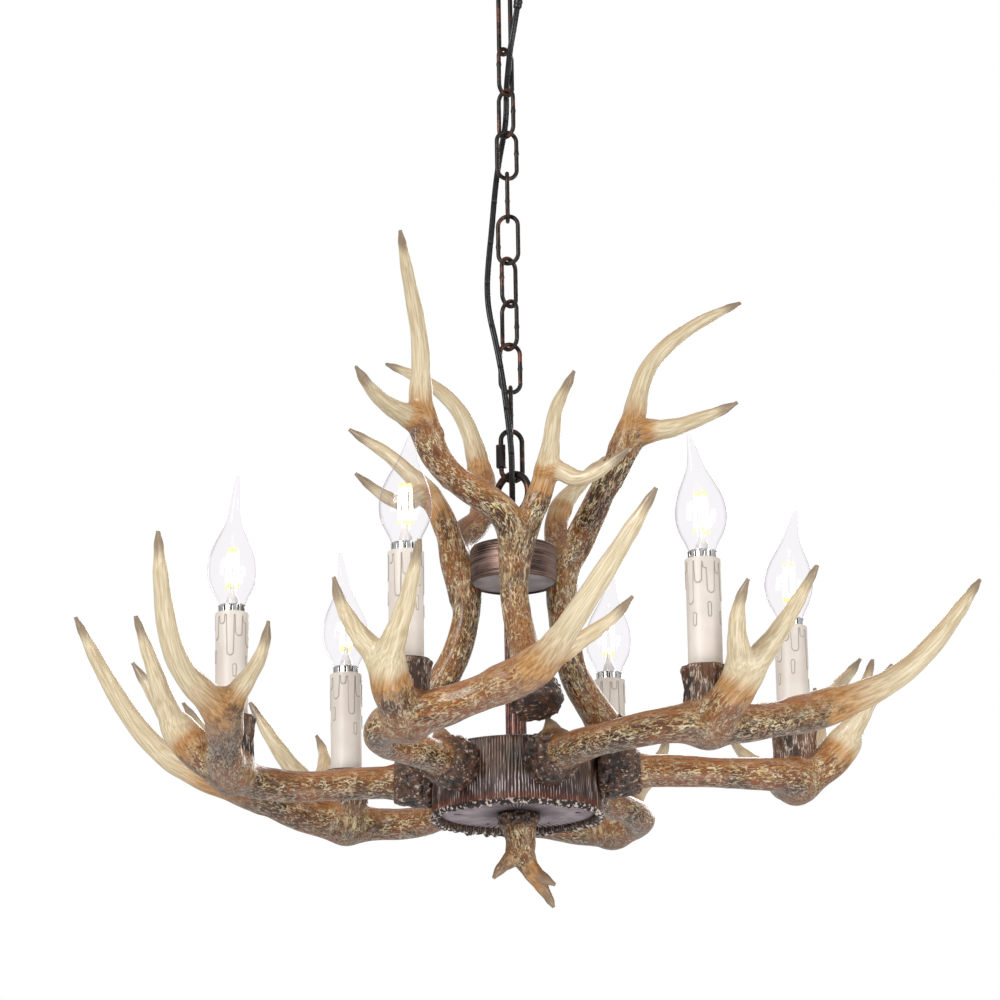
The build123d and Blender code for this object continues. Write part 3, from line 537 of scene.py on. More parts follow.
def floor_material():
    """Mauve-grey satin paint over fine ridges that run in to the middle, with painted shade in their
    grooves, toward the middle, at the rim and in the holes.
    """
    m, shader = new_material("mauve_satin_paint")
    place = add(m, "place")
    drift = add(m, "noise", place, Scale=90.0, Detail=3.0)
    coat = shade(m, drift, (0.3, 0.7), "#83767c", "#a3969b")
    # painted shade in the ridges' grooves
    coat = shade(m, add(m, "field", attribute_name="relief"), (0.3, -0.5), coat, "#42363b")
    # painted shade toward the middle, at the rim and in the holes
    colour = add(m, "mix", add(m, "field", attribute_name="band"), "#21171a", coat)
    feed(shader, {"Base Color": colour, "Roughness": 0.36,
                  "Normal": add(m, "bump", Height=drift, Strength=0.3, Distance=0.3 * MM)})
    return m


antler = antler_material()
bark = hub_material()
cup_bark = cup_material()
bronze = bronze_material()
copper = copper_material()
rod_paint = plain_material("red_brown_lacquer", "#3b1c14", "#6d3b2b", 0.3, metal=0.5, scale=200.0, coat=0.3)
plate_paint = plain_material("pale_plate_paint", "#8d8488", "#b9b2b4", 0.5, scale=60.0)
black_plastic = plain_material("moulded_black_plastic", "#0d0d0d", "#161616", 0.35, scale=400.0)
flex = plain_material("pvc_flex", "#0b0a0b", "#171618", 0.28, scale=300.0, bump_mm=0.08)
tape_vinyl = plain_material("vinyl_tape", "#101012", "#1d1c1f", 0.3, scale=500.0, bump_mm=0.1)
zinc = plain_material("zinc_plate", "#b4b1a9", "#d4d1c9", 0.3, metal=1.0, scale=200.0)
chrome = plain_material("nickel_plate", "#c9c9c7", "#e4e4e2", 0.16, metal=1.0, scale=300.0, bump_mm=0.02)
holder_black = plain_material("lampholder_phenolic", "#101010", "#1a1a1a", 0.4, scale=300.0)
wax = wax_material()
glass = glass_material()
filament_glow = glow_material()
floor_paint = floor_material()
stem_glass = plain_material("pressed_stem_glass", "#e9e6e4", "#f4f2f0", 0.1, scale=200.0, coat=0.5)

for names, finish in (
        (["ceiling_bracket", "tie_rod", "tie_rod_nuts", "fixing_bolts"], zinc),
        (["canopy", "canopy_nuts", "canopy_loop", "hook", "quick_link", "quick_link_nut",
          "fixture_ring"], bronze),
        (["wire_connectors", "hub_connectors", "cord_grip", "cord_bushing"], black_plastic),
        (["center_rod"], rod_paint),
        (["collar_plate"], plate_paint),
        (["lampholders"], holder_black),
        ([f"bulb_cap_{i}" for i in range(1, 7)], chrome)):
    for name in names:
        dress(bpy.data.objects[name], finish)

# ---- cord
CORD_ROUTE = [
    (16.0, -12.0, -24.0), (16.0, -12.0, -38.0), (13.2, -12.6, -65.0), (9.8, -12.2, -85.0),
    (6.4, -10.7, -105.0), (3.7, -7.1, -118.0), (2.1, -0.4, -131.0), (0.4, 6.3, -145.0),
    (0.4, 9.9, -159.0), (-0.8, 10.7, -173.0), (-3.2, 9.9, -186.0), (-5.7, 8.3, -200.0),
    (-8.0, 6.2, -216.0), (-9.9, 4.1, -234.0), (-11.9, 2.0, -257.0), (-14.4, -0.1, -280.0),
    (-16.0, -2.3, -302.0), (-14.8, -4.5, -322.0), (-10.8, -6.6, -342.0), (-7.3, -8.6, -362.0),
    (-4.9, -10.2, -380.0), (-3.1, -11.1, -397.0), (-1.3, -10.8, -414.0), (-0.1, -9.4, -430.0),
    (0.0, -6.7, -445.0), (0.0, -3.2, -454.5), (0.0, -0.7, -461.5), (0.0, 0.0, -464.4),
    (0.0, 0.0, -468.5),
]


def nurbs_line(route):
    """Points in mm along the smooth NURBS curve that has the route's points as its controls."""
    curve = bpy.data.curves.new("cord_route", "CURVE")
    curve.dimensions = "3D"
    curve.resolution_u = 10
    spline = curve.splines.new("NURBS")
    spline.points.add(len(route) - 1)
    controls = np.c_[np.array(route) * MM, np.ones(len(route))]
    spline.points.foreach_set("co", controls.astype(np.float32).ravel())
    spline.order_u = 3
    spline.use_endpoint_u = True
    holder = bpy.data.objects.new("cord_route", curve)
    mesh = bpy.data.meshes.new_from_object(holder)
    line = np.empty(len(mesh.vertices) * 3)
    mesh.vertices.foreach_get("co", line)
    bpy.data.objects.remove(holder)
    bpy.data.curves.remove(curve)
    bpy.data.meshes.remove(mesh)
    return line.reshape(-1, 3) / MM


def flex_radius(angle):
    """Radius of a flat twin flex, 4.4 by 2.9 mm, with a groove down each side."""
    across = np.cos(angle)
    return 1.45 + 0.75 * np.abs(across) ** 1.5 - 0.28 * np.exp(-(across / 0.2) ** 2)


# the cord is cut midway between the hinges that it passes
line = nurbs_line(CORD_ROUTE)
borders = [(a + b) / 2.0 for a, b in zip(JOINT_HEIGHTS, JOINT_HEIGHTS[1:])]
cuts = [0] + [int(np.argmin(np.abs(line[:, 2] - height))) for height in borders] + [len(line) - 1]
cord_pieces = []
for i, (first, last) in enumerate(zip(cuts, cuts[1:])):
    path = line[first:last + 1]
    piece = make_piece(f"cord_run_{i + 1}", *tube(path, 1.0, 20, Y_AXIS, flex_radius), flex,
                       replaces=["cord"], slot="cord")
    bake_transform(piece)
    cord_pieces.append((piece, path))


TAPE_TOP, TAPE_FOOT, TAPE_TURN = -68.5, -87.5, 7.0


def wound_tape():
    """Insulating tape wound round the cord: each turn's edge stands 0.3 mm proud, on a sawtooth."""
    path, s = smooth_line(line[(line[:, 2] < TAPE_TOP) & (line[:, 2] > TAPE_FOOT)], 0.5)
    radius = 3.1 + 0.3 * ((s / TAPE_TURN) % 1.0) + 0.12 * np.sin(s * 2.1)
    radius[[0, -1]] = 2.4   # the ends close down on the cord
    points, faces = tube(path, radius, 28, Y_AXIS)
    crumple = lattice_noise(points / 2.2, 5)[:, None] * 0.15
    middle = path[np.argmin(np.linalg.norm(points[:, None] - path[None], axis=2), axis=1)]
    return make_piece("tape_winding", points + (points - middle) * crumple / 3.0, faces, tape_vinyl,
                      "hook", ["cord_tape"], "tape")


tape = wound_tape()
for i, (piece, path) in enumerate(cord_pieces):
    float(travelled(path)[-1]) * MM


# ---- chain
WELD_RISE, WELD_SPREAD = 0.38, 1.3


def chain_oval(angle, centre, weld_side, weld_height):
    """Round wire bent to an oval: two half circles joined by straight legs, with a weld bead that
    swells one leg and falls off as a bell curve along it."""
    half, straight = (LINK_WIDTH - LINK_WIRE) / 2.0, (LINK_LENGTH - LINK_WIDTH) / 2.0
    turn = np.linspace(0.0, math.pi, 40)
    leg = np.linspace(-straight, straight, 24)[1:-1]
    x = np.r_[half * np.cos(turn), np.full(len(leg), -half), -half * np.cos(turn), np.full(len(leg), half)]
    z = np.r_[straight + half * np.sin(turn), leg[::-1], -straight - half * np.sin(turn), leg]
    side = facing(angle)
    out = np.array([-side[1], side[0], 0.0])
    path = side * x[:, None] + Z_AXIS * (z[:, None] + centre)
    near = np.exp(-((z - weld_height) / WELD_SPREAD) ** 2) * (x * weld_side > 0.8 * half)
    radius = LINK_WIRE / 2.0 + WELD_RISE * near
    level = np.cross(out, unit(np.roll(path, -1, 0) - np.roll(path, 1, 0)))
    return rings(path, radius[:, None], out, level, 20), grid_faces(len(path), 20)[:, ::-1]


# the side of each link that its weld is on, and the weld's height
WELDS = [(-1, 4.0), (1, 0.0), (1, 2.0), (1, 0.0), (-1, -5.0), (-1, 2.0), (1, -3.0), (1, 0.0), (1, 0.0)]
for i, (centre, angle, weld) in enumerate(zip(LINK_CENTRES, LINK_TURNS, WELDS)):
    make_piece(f"chain_oval_{i + 1}", *chain_oval(angle, centre, *weld), bronze, f"link_{i + 1}",
               [f"chain_link_{i + 1}"], "dark_bronze")


# ---- antlers
def limb(points, girth, polish, seed, across=Z_AXIS, group=0):
    """One limb of an antler: its middle line every millimetre, with radius, directions and zones.

    girth lists (distance, radius) along the limb, and the radius eases from each to the next;
    polish is the two distances between which the rough beam turns into smooth tine; the last
    34 mm are its tip.  Limbs of group 1 have their own grain, so that it turns with them.
    """
    middle, s = smooth_line(points, 1.0)
    span, radius = np.array(girth, float).T
    at = s * span[-1] / s[-1]
    i = np.clip(np.searchsorted(span, at) - 1, 0, len(span) - 2)
    share = ease(at, span[i], span[i + 1])
    side, lift = square_to(middle, across)
    return {"middle": middle, "s": s, "radius": radius[i] + (radius[i + 1] - radius[i]) * share,
            "side": side, "lift": lift, "seed": seed, "group": group, "across": across,
            "polish": ease(s, *polish), "tip": ease(s, s[-1] - 34.0, s[-1] - 4.0)}


def near_limb(points, one, batch=8000):
    """Distance from each point to a limb's surface, and which point of its middle line is nearest."""
    distance, index = np.empty(len(points)), np.empty(len(points), int)
    square = (one["middle"] ** 2).sum(1)
    for start in range(0, len(points), batch):
        some = slice(start, start + batch)
        d = (points[some] ** 2).sum(1)[:, None] + square - 2.0 * points[some] @ one["middle"].T
        d = np.sqrt(np.maximum(d, 0.0)) - one["radius"]
        index[some], distance[some] = d.argmin(1), d.min(1)
    return distance, index


def joined(points, limbs, web):
    """The limbs' smooth union: -web ln(sum of exp(-distance / web)), its outward direction,
    each limb's share of it and each limb's nearest middle point."""
    found = [near_limb(points, one) for one in limbs]
    distance = np.array([d for d, _ in found])
    least = distance.min(0)
    weight = np.exp(-(distance - least) / web)
    total = weight.sum(0)
    weight /= total
    out = np.zeros_like(points)
    for w, one, (_, i) in zip(weight, limbs, found):
        away = points - one["middle"][i]
        out += w[:, None] * away / np.maximum(np.linalg.norm(away, axis=1), 1e-6)[:, None]
    return least - web * np.log(total), unit(out), weight, [i for _, i in found]


def remeshed(parts, voxel):
    """Closed tubes merged into one skin of even quads."""
    starts = np.cumsum([0] + [len(p) for p, _ in parts])
    points = np.vstack([p for p, _ in parts]) * MM
    faces = np.vstack([f + start for (_, f), start in zip(parts, starts)])
    mesh = bpy.data.meshes.new("rough")
    mesh.from_pydata(points.tolist(), [], faces.tolist())
    holder = in_scene("rough", mesh)
    modifier = holder.modifiers.new("skin", "REMESH")
    modifier.mode = "VOXEL"
    modifier.voxel_size = voxel * MM
    bpy.context.view_layer.update()
    skin = bpy.data.meshes.new_from_object(holder.evaluated_get(bpy.context.evaluated_depsgraph_get()))
    co = np.empty(len(skin.vertices) * 3, np.float32)
    skin.vertices.foreach_get("co", co)
    index = np.empty(len(skin.loops), np.int32)
    skin.loops.foreach_get("vertex_index", index)
    bpy.data.objects.remove(holder)
    bpy.data.meshes.remove(mesh)
    bpy.data.meshes.remove(skin)
    return co.reshape(-1, 3).astype(float) / MM, index.reshape(-1, 4)


def cast_antler(limbs, burr, cut_at, cut_into, web=2.6, voxel=1.15):
    """An antler casting as one skin: smooth union of its limbs, pearled burr and ridged beam.

    burr is the (start, end) along the first limb of its coronet.  The casting ends in a flat face
    through cut_at, and cut_into points from that face into the casting.  The skin is drawn on to the
    union in four steps, then raised by its relief.  Returns points, faces and its material's fields.
    """
    into = np.array(cut_into)
    parts = [tube(one["middle"][::2], one["radius"][::2], 24, one["across"]) for one in limbs]
    points, faces = remeshed(parts, voxel * (1.0))
    for _ in range(4):
        gap, out, _, _ = joined(points, limbs, web)
        face = (np.array(cut_at) - points) @ into
        out = np.where((face > gap)[:, None], -into, out)
        points = points - out * np.maximum(gap, face)[:, None]
    gap, out, weight, nearest = joined(points, limbs, web)
    s0 = limbs[0]["s"][nearest[0]]
    pearl_zone = ease(s0, burr[0] - 5.0, burr[0]) * ease(s0, burr[1] + 7.0, burr[1]) * weight[0]
    polish, tip, relief, girth, share = np.zeros((5, len(points)))
    grain = np.zeros((2, len(points), 3))
    best = np.full((2, len(points)), -1.0)
    for one, w, i in zip(limbs, weight, nearest):
        away = points - one["middle"][i]
        local = np.stack([one["s"][i], (away * one["side"][i]).sum(1), (away * one["lift"][i]).sum(1)], 1)
        rough = 1.0 - 0.85 * one["polish"][i]
        # ridges 4.3 mm apart and 21 mm long that wander, and knots of 6.5 by 9 mm
        warp = lattice_noise(local / (30.0, 9.0, 9.0), one["seed"] + 7)[:, None] * (0.0, 0.8, 0.8)
        ridge = 1.0 - 2.0 * np.abs(lattice_noise(local / (21.0, 4.3, 4.3) + warp, one["seed"]))
        knots = lattice_noise(local / (9.0, 6.5, 6.5), one["seed"] + 3)
        relief += w * rough * (0.62 * ridge + 0.38 * knots - 0.2)
        polish += w * one["polish"][i]
        tip += w * one["tip"][i]
        girth += w * one["radius"][i]
        share += w * one["group"]
        group = one["group"]
        take = w > best[group]
        best[group][take] = w[take]
        grain[group][take] = (local * MM + one["seed"] * 0.37)[take]
    pearls = lattice_noise(points / 3.4, 11) * 0.6 + lattice_noise(points / 1.9, 12) * 0.4
    relief = relief * (1.0 - pearl_zone) + pearl_zone * (1.7 * pearls + 0.5)
    zones = np.stack([polish, tip, ease(s0, burr[1] + 11.0, burr[1] - 2.0) * weight[0]], 1)
    flat_end = ease((points - cut_at) @ into, 0.2, 1.6)
    depth = (0.5 + 1.0 * pearl_zone) * flat_end * (1.0 - 0.9 * tip)
    rise = relief * depth * np.minimum(1.0, girth / 8.0)
    return points + out * rise[:, None], faces, {
        "grain_a": grain[0], "grain_b": grain[1], "share_b": share, "zones": zones, "relief": relief,
        "lit_top": 0.5 + 0.5 * out[:, 2]}


def place_casting(name, cast, angle, rise, node):
    """One antler piece from a casting that is turned about the rod and raised."""
    points, faces, fields = cast
    make_piece(name, turned(points, angle, rise), faces, antler, "fixture", [node], "antler", fields)


ARM_BEAM = [(52, -20, 6), (62, -22, 6), (107, -30, 6), (152, -35, 4), (189, -20, 6), (205, 15, 8),
            (209, 44, 13), (210, 67, 19), (216, 95, 28), (241, 127, 44), (258, 163, 79), (265, 198, 123)]
ARM_GIRTH = [(0, 14), (12, 17.5), (19, 17), (25, 13), (40, 11.5), (80, 10.5), (125, 11.5), (160, 13.5),
             (190, 13), (220, 11.5), (245, 12), (262, 12.5), (285, 10), (310, 8), (345, 7), (380, 5.4),
             (402, 3.4), (414, 1.4)]


def arm_cast(lift):
    """A lower antler: the beam that ends in the long tine, the two brow tines' palm and its inner
    tine, the short back tine, a spur and the seat under the candle cup.  lift raises the long
    tine's end, growing with the height above its bend to the power 1.5."""
    bend, rise = ARM_BEAM[8][2], ARM_BEAM[-1][2] - ARM_BEAM[8][2]
    beam = [(x, y, z + lift * (max(0, z - bend) / rise) ** 1.5) for x, y, z in ARM_BEAM]
    limbs = [
        limb(beam, ARM_GIRTH, (215, 330), 1),
        limb([(212, 70, 20), (211, 92, 27), (206, 106, 36), (197, 122, 48), (190, 143, 64), (189, 154, 75)],
             [(0, 10.5), (25, 9.5), (45, 7), (65, 5.2), (90, 3.6), (104, 1.3)], (22, 60), 2, group=1),
        limb([(200, 2, 5), (222, -1, 19), (239, 4, 37), (247, 12, 51), (254, 22, 68), (262, 31, 87),
              (270, 39, 107)],
             [(0, 12), (25, 12.4), (45, 11.5), (62, 8.4), (82, 6.6), (105, 5), (125, 3), (135, 1.5)],
             (18, 55), 3, group=1),
        limb([(226, 3, 24), (236, -3, 38), (245, -12, 51), (253, -19, 65), (260, -22, 76), (268, -22, 88)],
             [(0, 10), (15, 9.5), (32, 7.6), (50, 5.8), (68, 3.8), (83, 1.4)], (-8, 22), 4),
        limb([(74, -23, 12), (73, -26, 20), (71, -31, 32)], [(0, 7), (10, 5.5), (20, 1.3)], (2, 14), 5,
             X_AXIS, 1),
        limb([(200, 0, 6), (200, 0, 10), (200, 0, 15)], [(0, 15), (9, 15.2)], (30, 40), 6, X_AXIS, 1)]
    return cast_antler(limbs, (8, 20), (54.0, -20.5, 6.0), (0.98, -0.2, 0.0))


arm_casts = {lift: arm_cast(lift) for lift in sorted(set(TINE_LIFTS))}
for i, angle in enumerate(ARM_TURNS):
    place_casting(f"lower_antler_{i + 1}", arm_casts[TINE_LIFTS[i]], angle, HUB_MIDDLE, f"arm_antler_{i + 1}")

# an upper antler: the long S-shaped beam, a long tine, the spur on it and the beam's side tine
crown_limbs = [
    limb([(91, 8, -124), (86, 7, -114), (55, 3, -76), (39.5, -2.5, -31.5), (41, -3, 1), (49, -6, 18),
          (48, -44, 51), (57, -66, 89), (70, -68, 135), (102, -76, 172), (146, -85, 199)],
         [(0, 13.5), (6, 17), (12, 16.5), (18, 13), (34, 11.5), (75, 10.3), (110, 9.8), (140, 10.4),
          (160, 11), (185, 10.6), (210, 9.6), (240, 10.4), (256, 10.8), (275, 8.4), (296, 6.8),
          (330, 5.8), (370, 4.6), (396, 3), (408, 1.4)], (225, 300), 21, X_AXIS),
    limb([(42, -1, -18), (45, 2, 6), (47, 13, 32), (58, 21, 58), (72, 23, 74), (87, 25, 89), (104, 32, 102),
          (113, 36, 109)],
         [(0, 9), (25, 10.4), (50, 9), (80, 8), (105, 5.8), (125, 4.8), (145, 3.4), (157, 1.4)],
         (45, 85), 22, X_AXIS, 1),
    limb([(56, 20, 54), (60, 28, 53), (65, 40, 46), (72, 52, 47), (80, 65, 54), (87, 76, 62)],
         [(0, 7.5), (15, 6.5), (35, 4.8), (52, 3.4), (66, 1.4)], (0, 14), 23),
    limb([(54, -60, 80), (60, -70, 89), (70, -80, 91), (82, -91, 93), (94, -101, 98), (107, -109, 104),
          (117, -115, 110)],
         [(0, 9), (18, 9.5), (34, 7), (52, 5.4), (75, 3.8), (88, 1.3)], (8, 38), 24, group=1)]
crown_cast = cast_antler(crown_limbs, (0, 13), (91.0, 8.0, -124.0), (-0.44, -0.09, 0.89), web=1.4)
for i, angle in enumerate(CROWN_TURNS):
    place_casting(f"upper_antler_{i + 1}", crown_cast, angle, COLLAR_MIDDLE, f"crown_antler_{i + 1}")

# the finial: a hanging point with a tine to each side
finial_limbs = [
    limb([(0, 0, 4.5), (1, 0, -6), (2, 0, -15), (4, 1, -26), (9, 2, -36), (15, 3, -45), (20, 3, -53),
          (24, 3, -61)],
         [(0, 14), (8, 11.5), (20, 10.2), (30, 8.2), (42, 6.2), (54, 4.8), (66, 3.2), (73, 1.3)],
         (14, 95), 31, Y_AXIS),
    limb([(0, 0, -18), (-4, -1, -26), (-11, -3, -33), (-18, -4, -42)],
         [(0, 8), (10, 6), (20, 4), (31, 1.3)], (-8, 60), 32, Y_AXIS, 1),
    limb([(9, 0, -34), (15, -2, -40), (21, -4, -44), (26, -5, -47)],
         [(0, 5.4), (8, 4.4), (18, 1.3)], (-25, 40), 33, Y_AXIS, 1)]
finial_cast = cast_antler(finial_limbs, (-4, 2), (0.0, 0.0, 4.8), (0.0, 0.0, -1.0), web=0.7, voxel=0.6)
place_casting("hanging_finial", finial_cast, 0.0, HUB_FOOT, "finial_antler")


# ---- hub and collar
def hub_drum():
    """The hub's bark drum: upright ridges 2.4 mm apart whose lines wander, broken by noise, with a
    paler lower band of painted highlight and a torn, scalloped foot; inside is a plain wall, open below."""
    top, foot = HUB_TOP, HUB_FOOT
    outer = [(3.0, top), (54.0, top), (57.4, top - 1.5), (58.2, top - 4.0), (60.4, foot + 6.0),
             (60.8, foot + 2.0), (59.6, foot + 0.2), (57.2, foot), (55.6, foot + 1.4), (55.3, foot + 4.6),
             (53.4, top - 5.0), (3.0, top - 5.0)]

    def relief(angle, radius, height):
        around = on_drum(angle, 60.0, height)
        sway = lattice_noise(around / (9.0, 9.0, 22.0), 41) * 1.3
        ridge = 0.5 + 0.5 * np.cos(angle * 157.0 + sway * 2.4)
        broken = 0.6 + 0.4 * lattice_noise(around / (3.0, 3.0, 9.0), 42)
        foot_zone = ease(height, foot + 5.0, foot + 0.5)
        torn = lattice_noise(around / (2.6, 2.6, 3.5), 43) * 1.1 * foot_zone
        rough = -0.95 * ridge * broken * (1.0 - 0.6 * foot_zone) + torn - 0.15
        return ease(radius, 56.5, 57.8) * rough * ease(height, top, top - 2.0)

    points, faces = lathe(densify(outer[::-1], 1.6), 600, relief=relief)
    angle, radius = off_axis(points)
    height = points[:, 2].copy()
    points[:, 2] += 1.5 * lattice_noise(on_drum(angle, 60.0, 0.0 * angle) / 2.8, 44) * ease(
        height, foot + 4.0, foot + 1.0)
    # the lower band of painted highlight, which fades at the left and right sides of the drum
    band = ease(height, -671.0, -676.0) * ease(height, foot + 4.0, foot + 9.0)
    fields = {"band": band * (0.35 + 0.65 * ease(np.abs(np.cos(angle)), 0.93, 0.6)),
              "foot": 0.85 * ease(height, foot + 10.0, foot + 6.5) * ease(radius, 57.5, 59.5),
              "rim": ease(height, foot + 5.0, foot + 2.5) * ease(radius, 55.0, 56.5)}
    make_piece("bark_drum", points, faces, bark, "fixture", ["hub_shell"], "bark", fields)


def hub_floor():
    """The hub's floor: a disc whose underside has 80 fine ridges that run in to the middle and six
    screw holes shown as small pits darkened with painted shade."""
    profile = densify([(3.0, FLOOR_FOOT), (54.4, FLOOR_FOOT), (54.4, FLOOR_TOP), (3.0, FLOOR_TOP)], 1.2)
    points, faces = lathe(profile, 400)
    angle, radius = off_axis(points)
    sway = lattice_noise(on_drum(angle, 30.0, radius / 9.0) / 5.0, 45)
    ridge = 0.4 * np.sin(angle * 80.0 + 2.0 * sway) * ease(radius, 8.0, 18.0)
    pits = sum(1.6 * ease(off_axis(points, 42.0 * facing(turn))[1], 2.4, 1.4) for turn in range(0, 360, 60))
    under = points[:, 2] < FLOOR_FOOT + 0.1
    points[:, 2] += under * (ridge * (1.0 - np.minimum(pits, 1.0)) + pits)
    # painted shade: darker in the ridges' grooves, toward the middle, at the rim and in the pits
    fields = {"relief": np.clip(-ridge * 3.0, -1.0, 1.0),
              "band": ease(radius, 8.0, 36.0) * ease(radius, 54.6, 50.0) * (pits < 0.3)}
    make_piece("hub_floor_disc", points, faces, floor_paint, "fixture", ["hub_floor_plate"],
               "hub_plate", fields)


def collar():
    """The collar's spun copper cup: rounded shoulder, a rolled bead at the lip, open below."""
    top, foot = COLLAR_TOP, COLLAR_FOOT
    outer = [(5.4, top), (27.0, top), (29.6, top - 0.7), (30.7, top - 2.4), (30.7, foot + 3.6),
             (30.3, foot + 3.0), (31.0, foot + 2.0), (31.0, foot + 0.7), (30.3, foot), (29.5, foot),
             (29.5, top - 1.5), (5.4, top - 1.5)]
    points, faces = lathe(densify(outer[::-1], 1.5), 128)
    make_piece("copper_collar", points, faces, copper, "fixture", ["collar_drum"], "aged_copper")


hub_drum()
hub_floor()
collar()


# ---- candle cups, sleeves and lamps
def candle_cup(i, centre):
    """A candle cup: bark-ridged outside that flares to a chipped rim, with a round bore for the sleeve."""
    foot, mouth = CUP_FOOT, CUP_MOUTH
    wall = [(15.6, foot), (16.0, foot + 8.0), (15.2, mouth - 15.0), (16.2, mouth - 5.0), (17.2, mouth - 1.5)]
    outer = [(2.0, foot), *wall, (16.6, mouth), (12.9, mouth - 0.2), (12.3, mouth - 1.2),
             (12.3, CUP_FLOOR), (2.0, CUP_FLOOR)]

    def relief(angle, radius, height):
        around = on_drum(angle, 16.0, height)
        sway = lattice_noise(around / (6.0, 6.0, 12.0), 50 + i)
        ridge = 1.0 - 2.0 * np.abs(lattice_noise(around / (2.6, 2.6, 9.0) + sway[:, None] * 0.7, 60 + i))
        chip = lattice_noise(around / 4.0, 70 + i) * ease(height, mouth - 4.0, mouth)
        return ease(radius, 14.0, 15.0) * (0.75 * ridge - 0.5 + 0.5 * chip)

    points, faces = lathe(densify(outer, 0.9), 144, centre, relief)
    smooth_wall = np.interp(points[:, 2], [height for _, height in wall], [radius for radius, _ in wall])
    proud = off_axis(points, centre)[1] - smooth_wall
    make_piece(f"candle_cup_{i + 1}", points, faces, cup_bark, "fixture", slot="bark",
               fields={"relief": np.clip(proud * 1.6 + 0.4, -1.0, 1.0)})


# wax runs: (angle round the sleeve in degrees, then half width, length and start below the top in mm)
WAX_RUNS = [(250, 3.1, 19, 0), (276, 2.4, 9, 0), (292, 3.3, 26, 0), (318, 2.2, 12, 0), (345, 3.0, 30, 0),
            (12, 2.5, 15, 0), (40, 3.4, 22, 0), (70, 2.3, 8, 0), (98, 3.1, 28, 0), (128, 2.6, 13, 0),
            (160, 3.3, 21, 0), (190, 2.4, 10, 0), (220, 2.9, 33, 0), (286, 1.3, 9, 33), (30, 1.4, 10, 30),
            (235, 1.4, 8, 40), (150, 1.4, 9, 28), (95, 1.2, 7, 37), (335, 1.3, 8, 38)]
WAX_COLLAR = 3.4     # mm of wax all round the top of a sleeve, with a wavy edge


def candle_sleeve(i, centre):
    """A candle sleeve with moulded wax: runs with round ends, 0.45 mm proud, under a wavy collar."""
    top = SLEEVE_TOP
    profile = densify([(10.9, CUP_FLOOR), (11.6, CUP_FLOOR), (11.6, top - 0.7), (11.4, top), (10.9, top)],
                      0.65)
    points, faces = lathe(profile, 140, centre)
    angle, radius = off_axis(points, centre)
    angle = np.degrees(angle)
    down = top - points[:, 2]
    near = down - WAX_COLLAR - 0.5 * np.sin(np.radians(angle) * 7.0)
    # the runs' pattern is turned by 24 degrees from each sleeve to the next
    for turn, half, length, start in WAX_RUNS:
        off = (angle - turn - 24.0 * i + 180.0) % 360.0 - 180.0
        taper = half * (1.0 - 0.25 * np.clip((down - start) / length, 0.0, 1.0))
        below = np.maximum(0.0, down - (start + length - half))
        above = np.maximum(0.0, start - down) if start else 0.0
        near = np.minimum(near, np.sqrt((np.radians(off) * 12.0) ** 2 + below ** 2 + above ** 2) - taper)
    wall = ease(radius, 11.3, 11.5)
    raised = ease(near, 0.35, -0.35) * wall
    points[:, :2] += (points[:, :2] - centre[:2]) / radius[:, None] * (0.45 * raised)[:, None]
    make_piece(f"wax_sleeve_{i + 1}", points, faces, wax, "fixture", [f"candle_sleeve_{i + 1}"], "candle",
               {"wash": wall * np.exp(-(near / 0.42) ** 2)})


def flame_glass(i, centre):
    """A flame-shaped bulb of thin blown glass, as one skin: a spline through its radii, turned about
    its axis, whose tip leans over with the square of the height above the belly."""
    height, belly = BULB_HEIGHTS[i], 24.0
    bow = np.zeros((9, 3))
    bow[:, 0] = [9.2, 11.2, 15.6, 17.6, 16.2, 11.4, 6.0, 3.4, 1.2]
    bow[:, 2] = [0, 5, 14, belly, 36, 48, 60, 60 + (height - 60) * 0.5, height]
    curve, _ = smooth_line(bow, 0.9)
    columns = 48
    rise = np.linspace(0.0, height, 70)
    radius = np.r_[8.6, np.interp(rise, curve[:, 2], curve[:, 0]), 0.02][:, None]
    rise = np.r_[0.0, rise, height + 0.6]
    angle = turn_angles(columns)
    lean = BULB_BENDS[i] * np.maximum(0.0, (rise - belly) / (height - belly)) ** 2
    x = centre[0] + lean[:, None] + radius * np.cos(angle)
    y = centre[1] + radius * np.sin(angle)
    z = np.broadcast_to(HOLDER_TOP + 0.3 + rise[:, None], x.shape)
    make_piece(f"flame_glass_{i + 1}", np.stack([x, y, z], -1).reshape(-1, 3),
               grid_faces(len(rise), columns, closed=False), glass, f"bulb_{i + 1}",
               [f"bulb_glass_{i + 1}"], "lamp_glass")


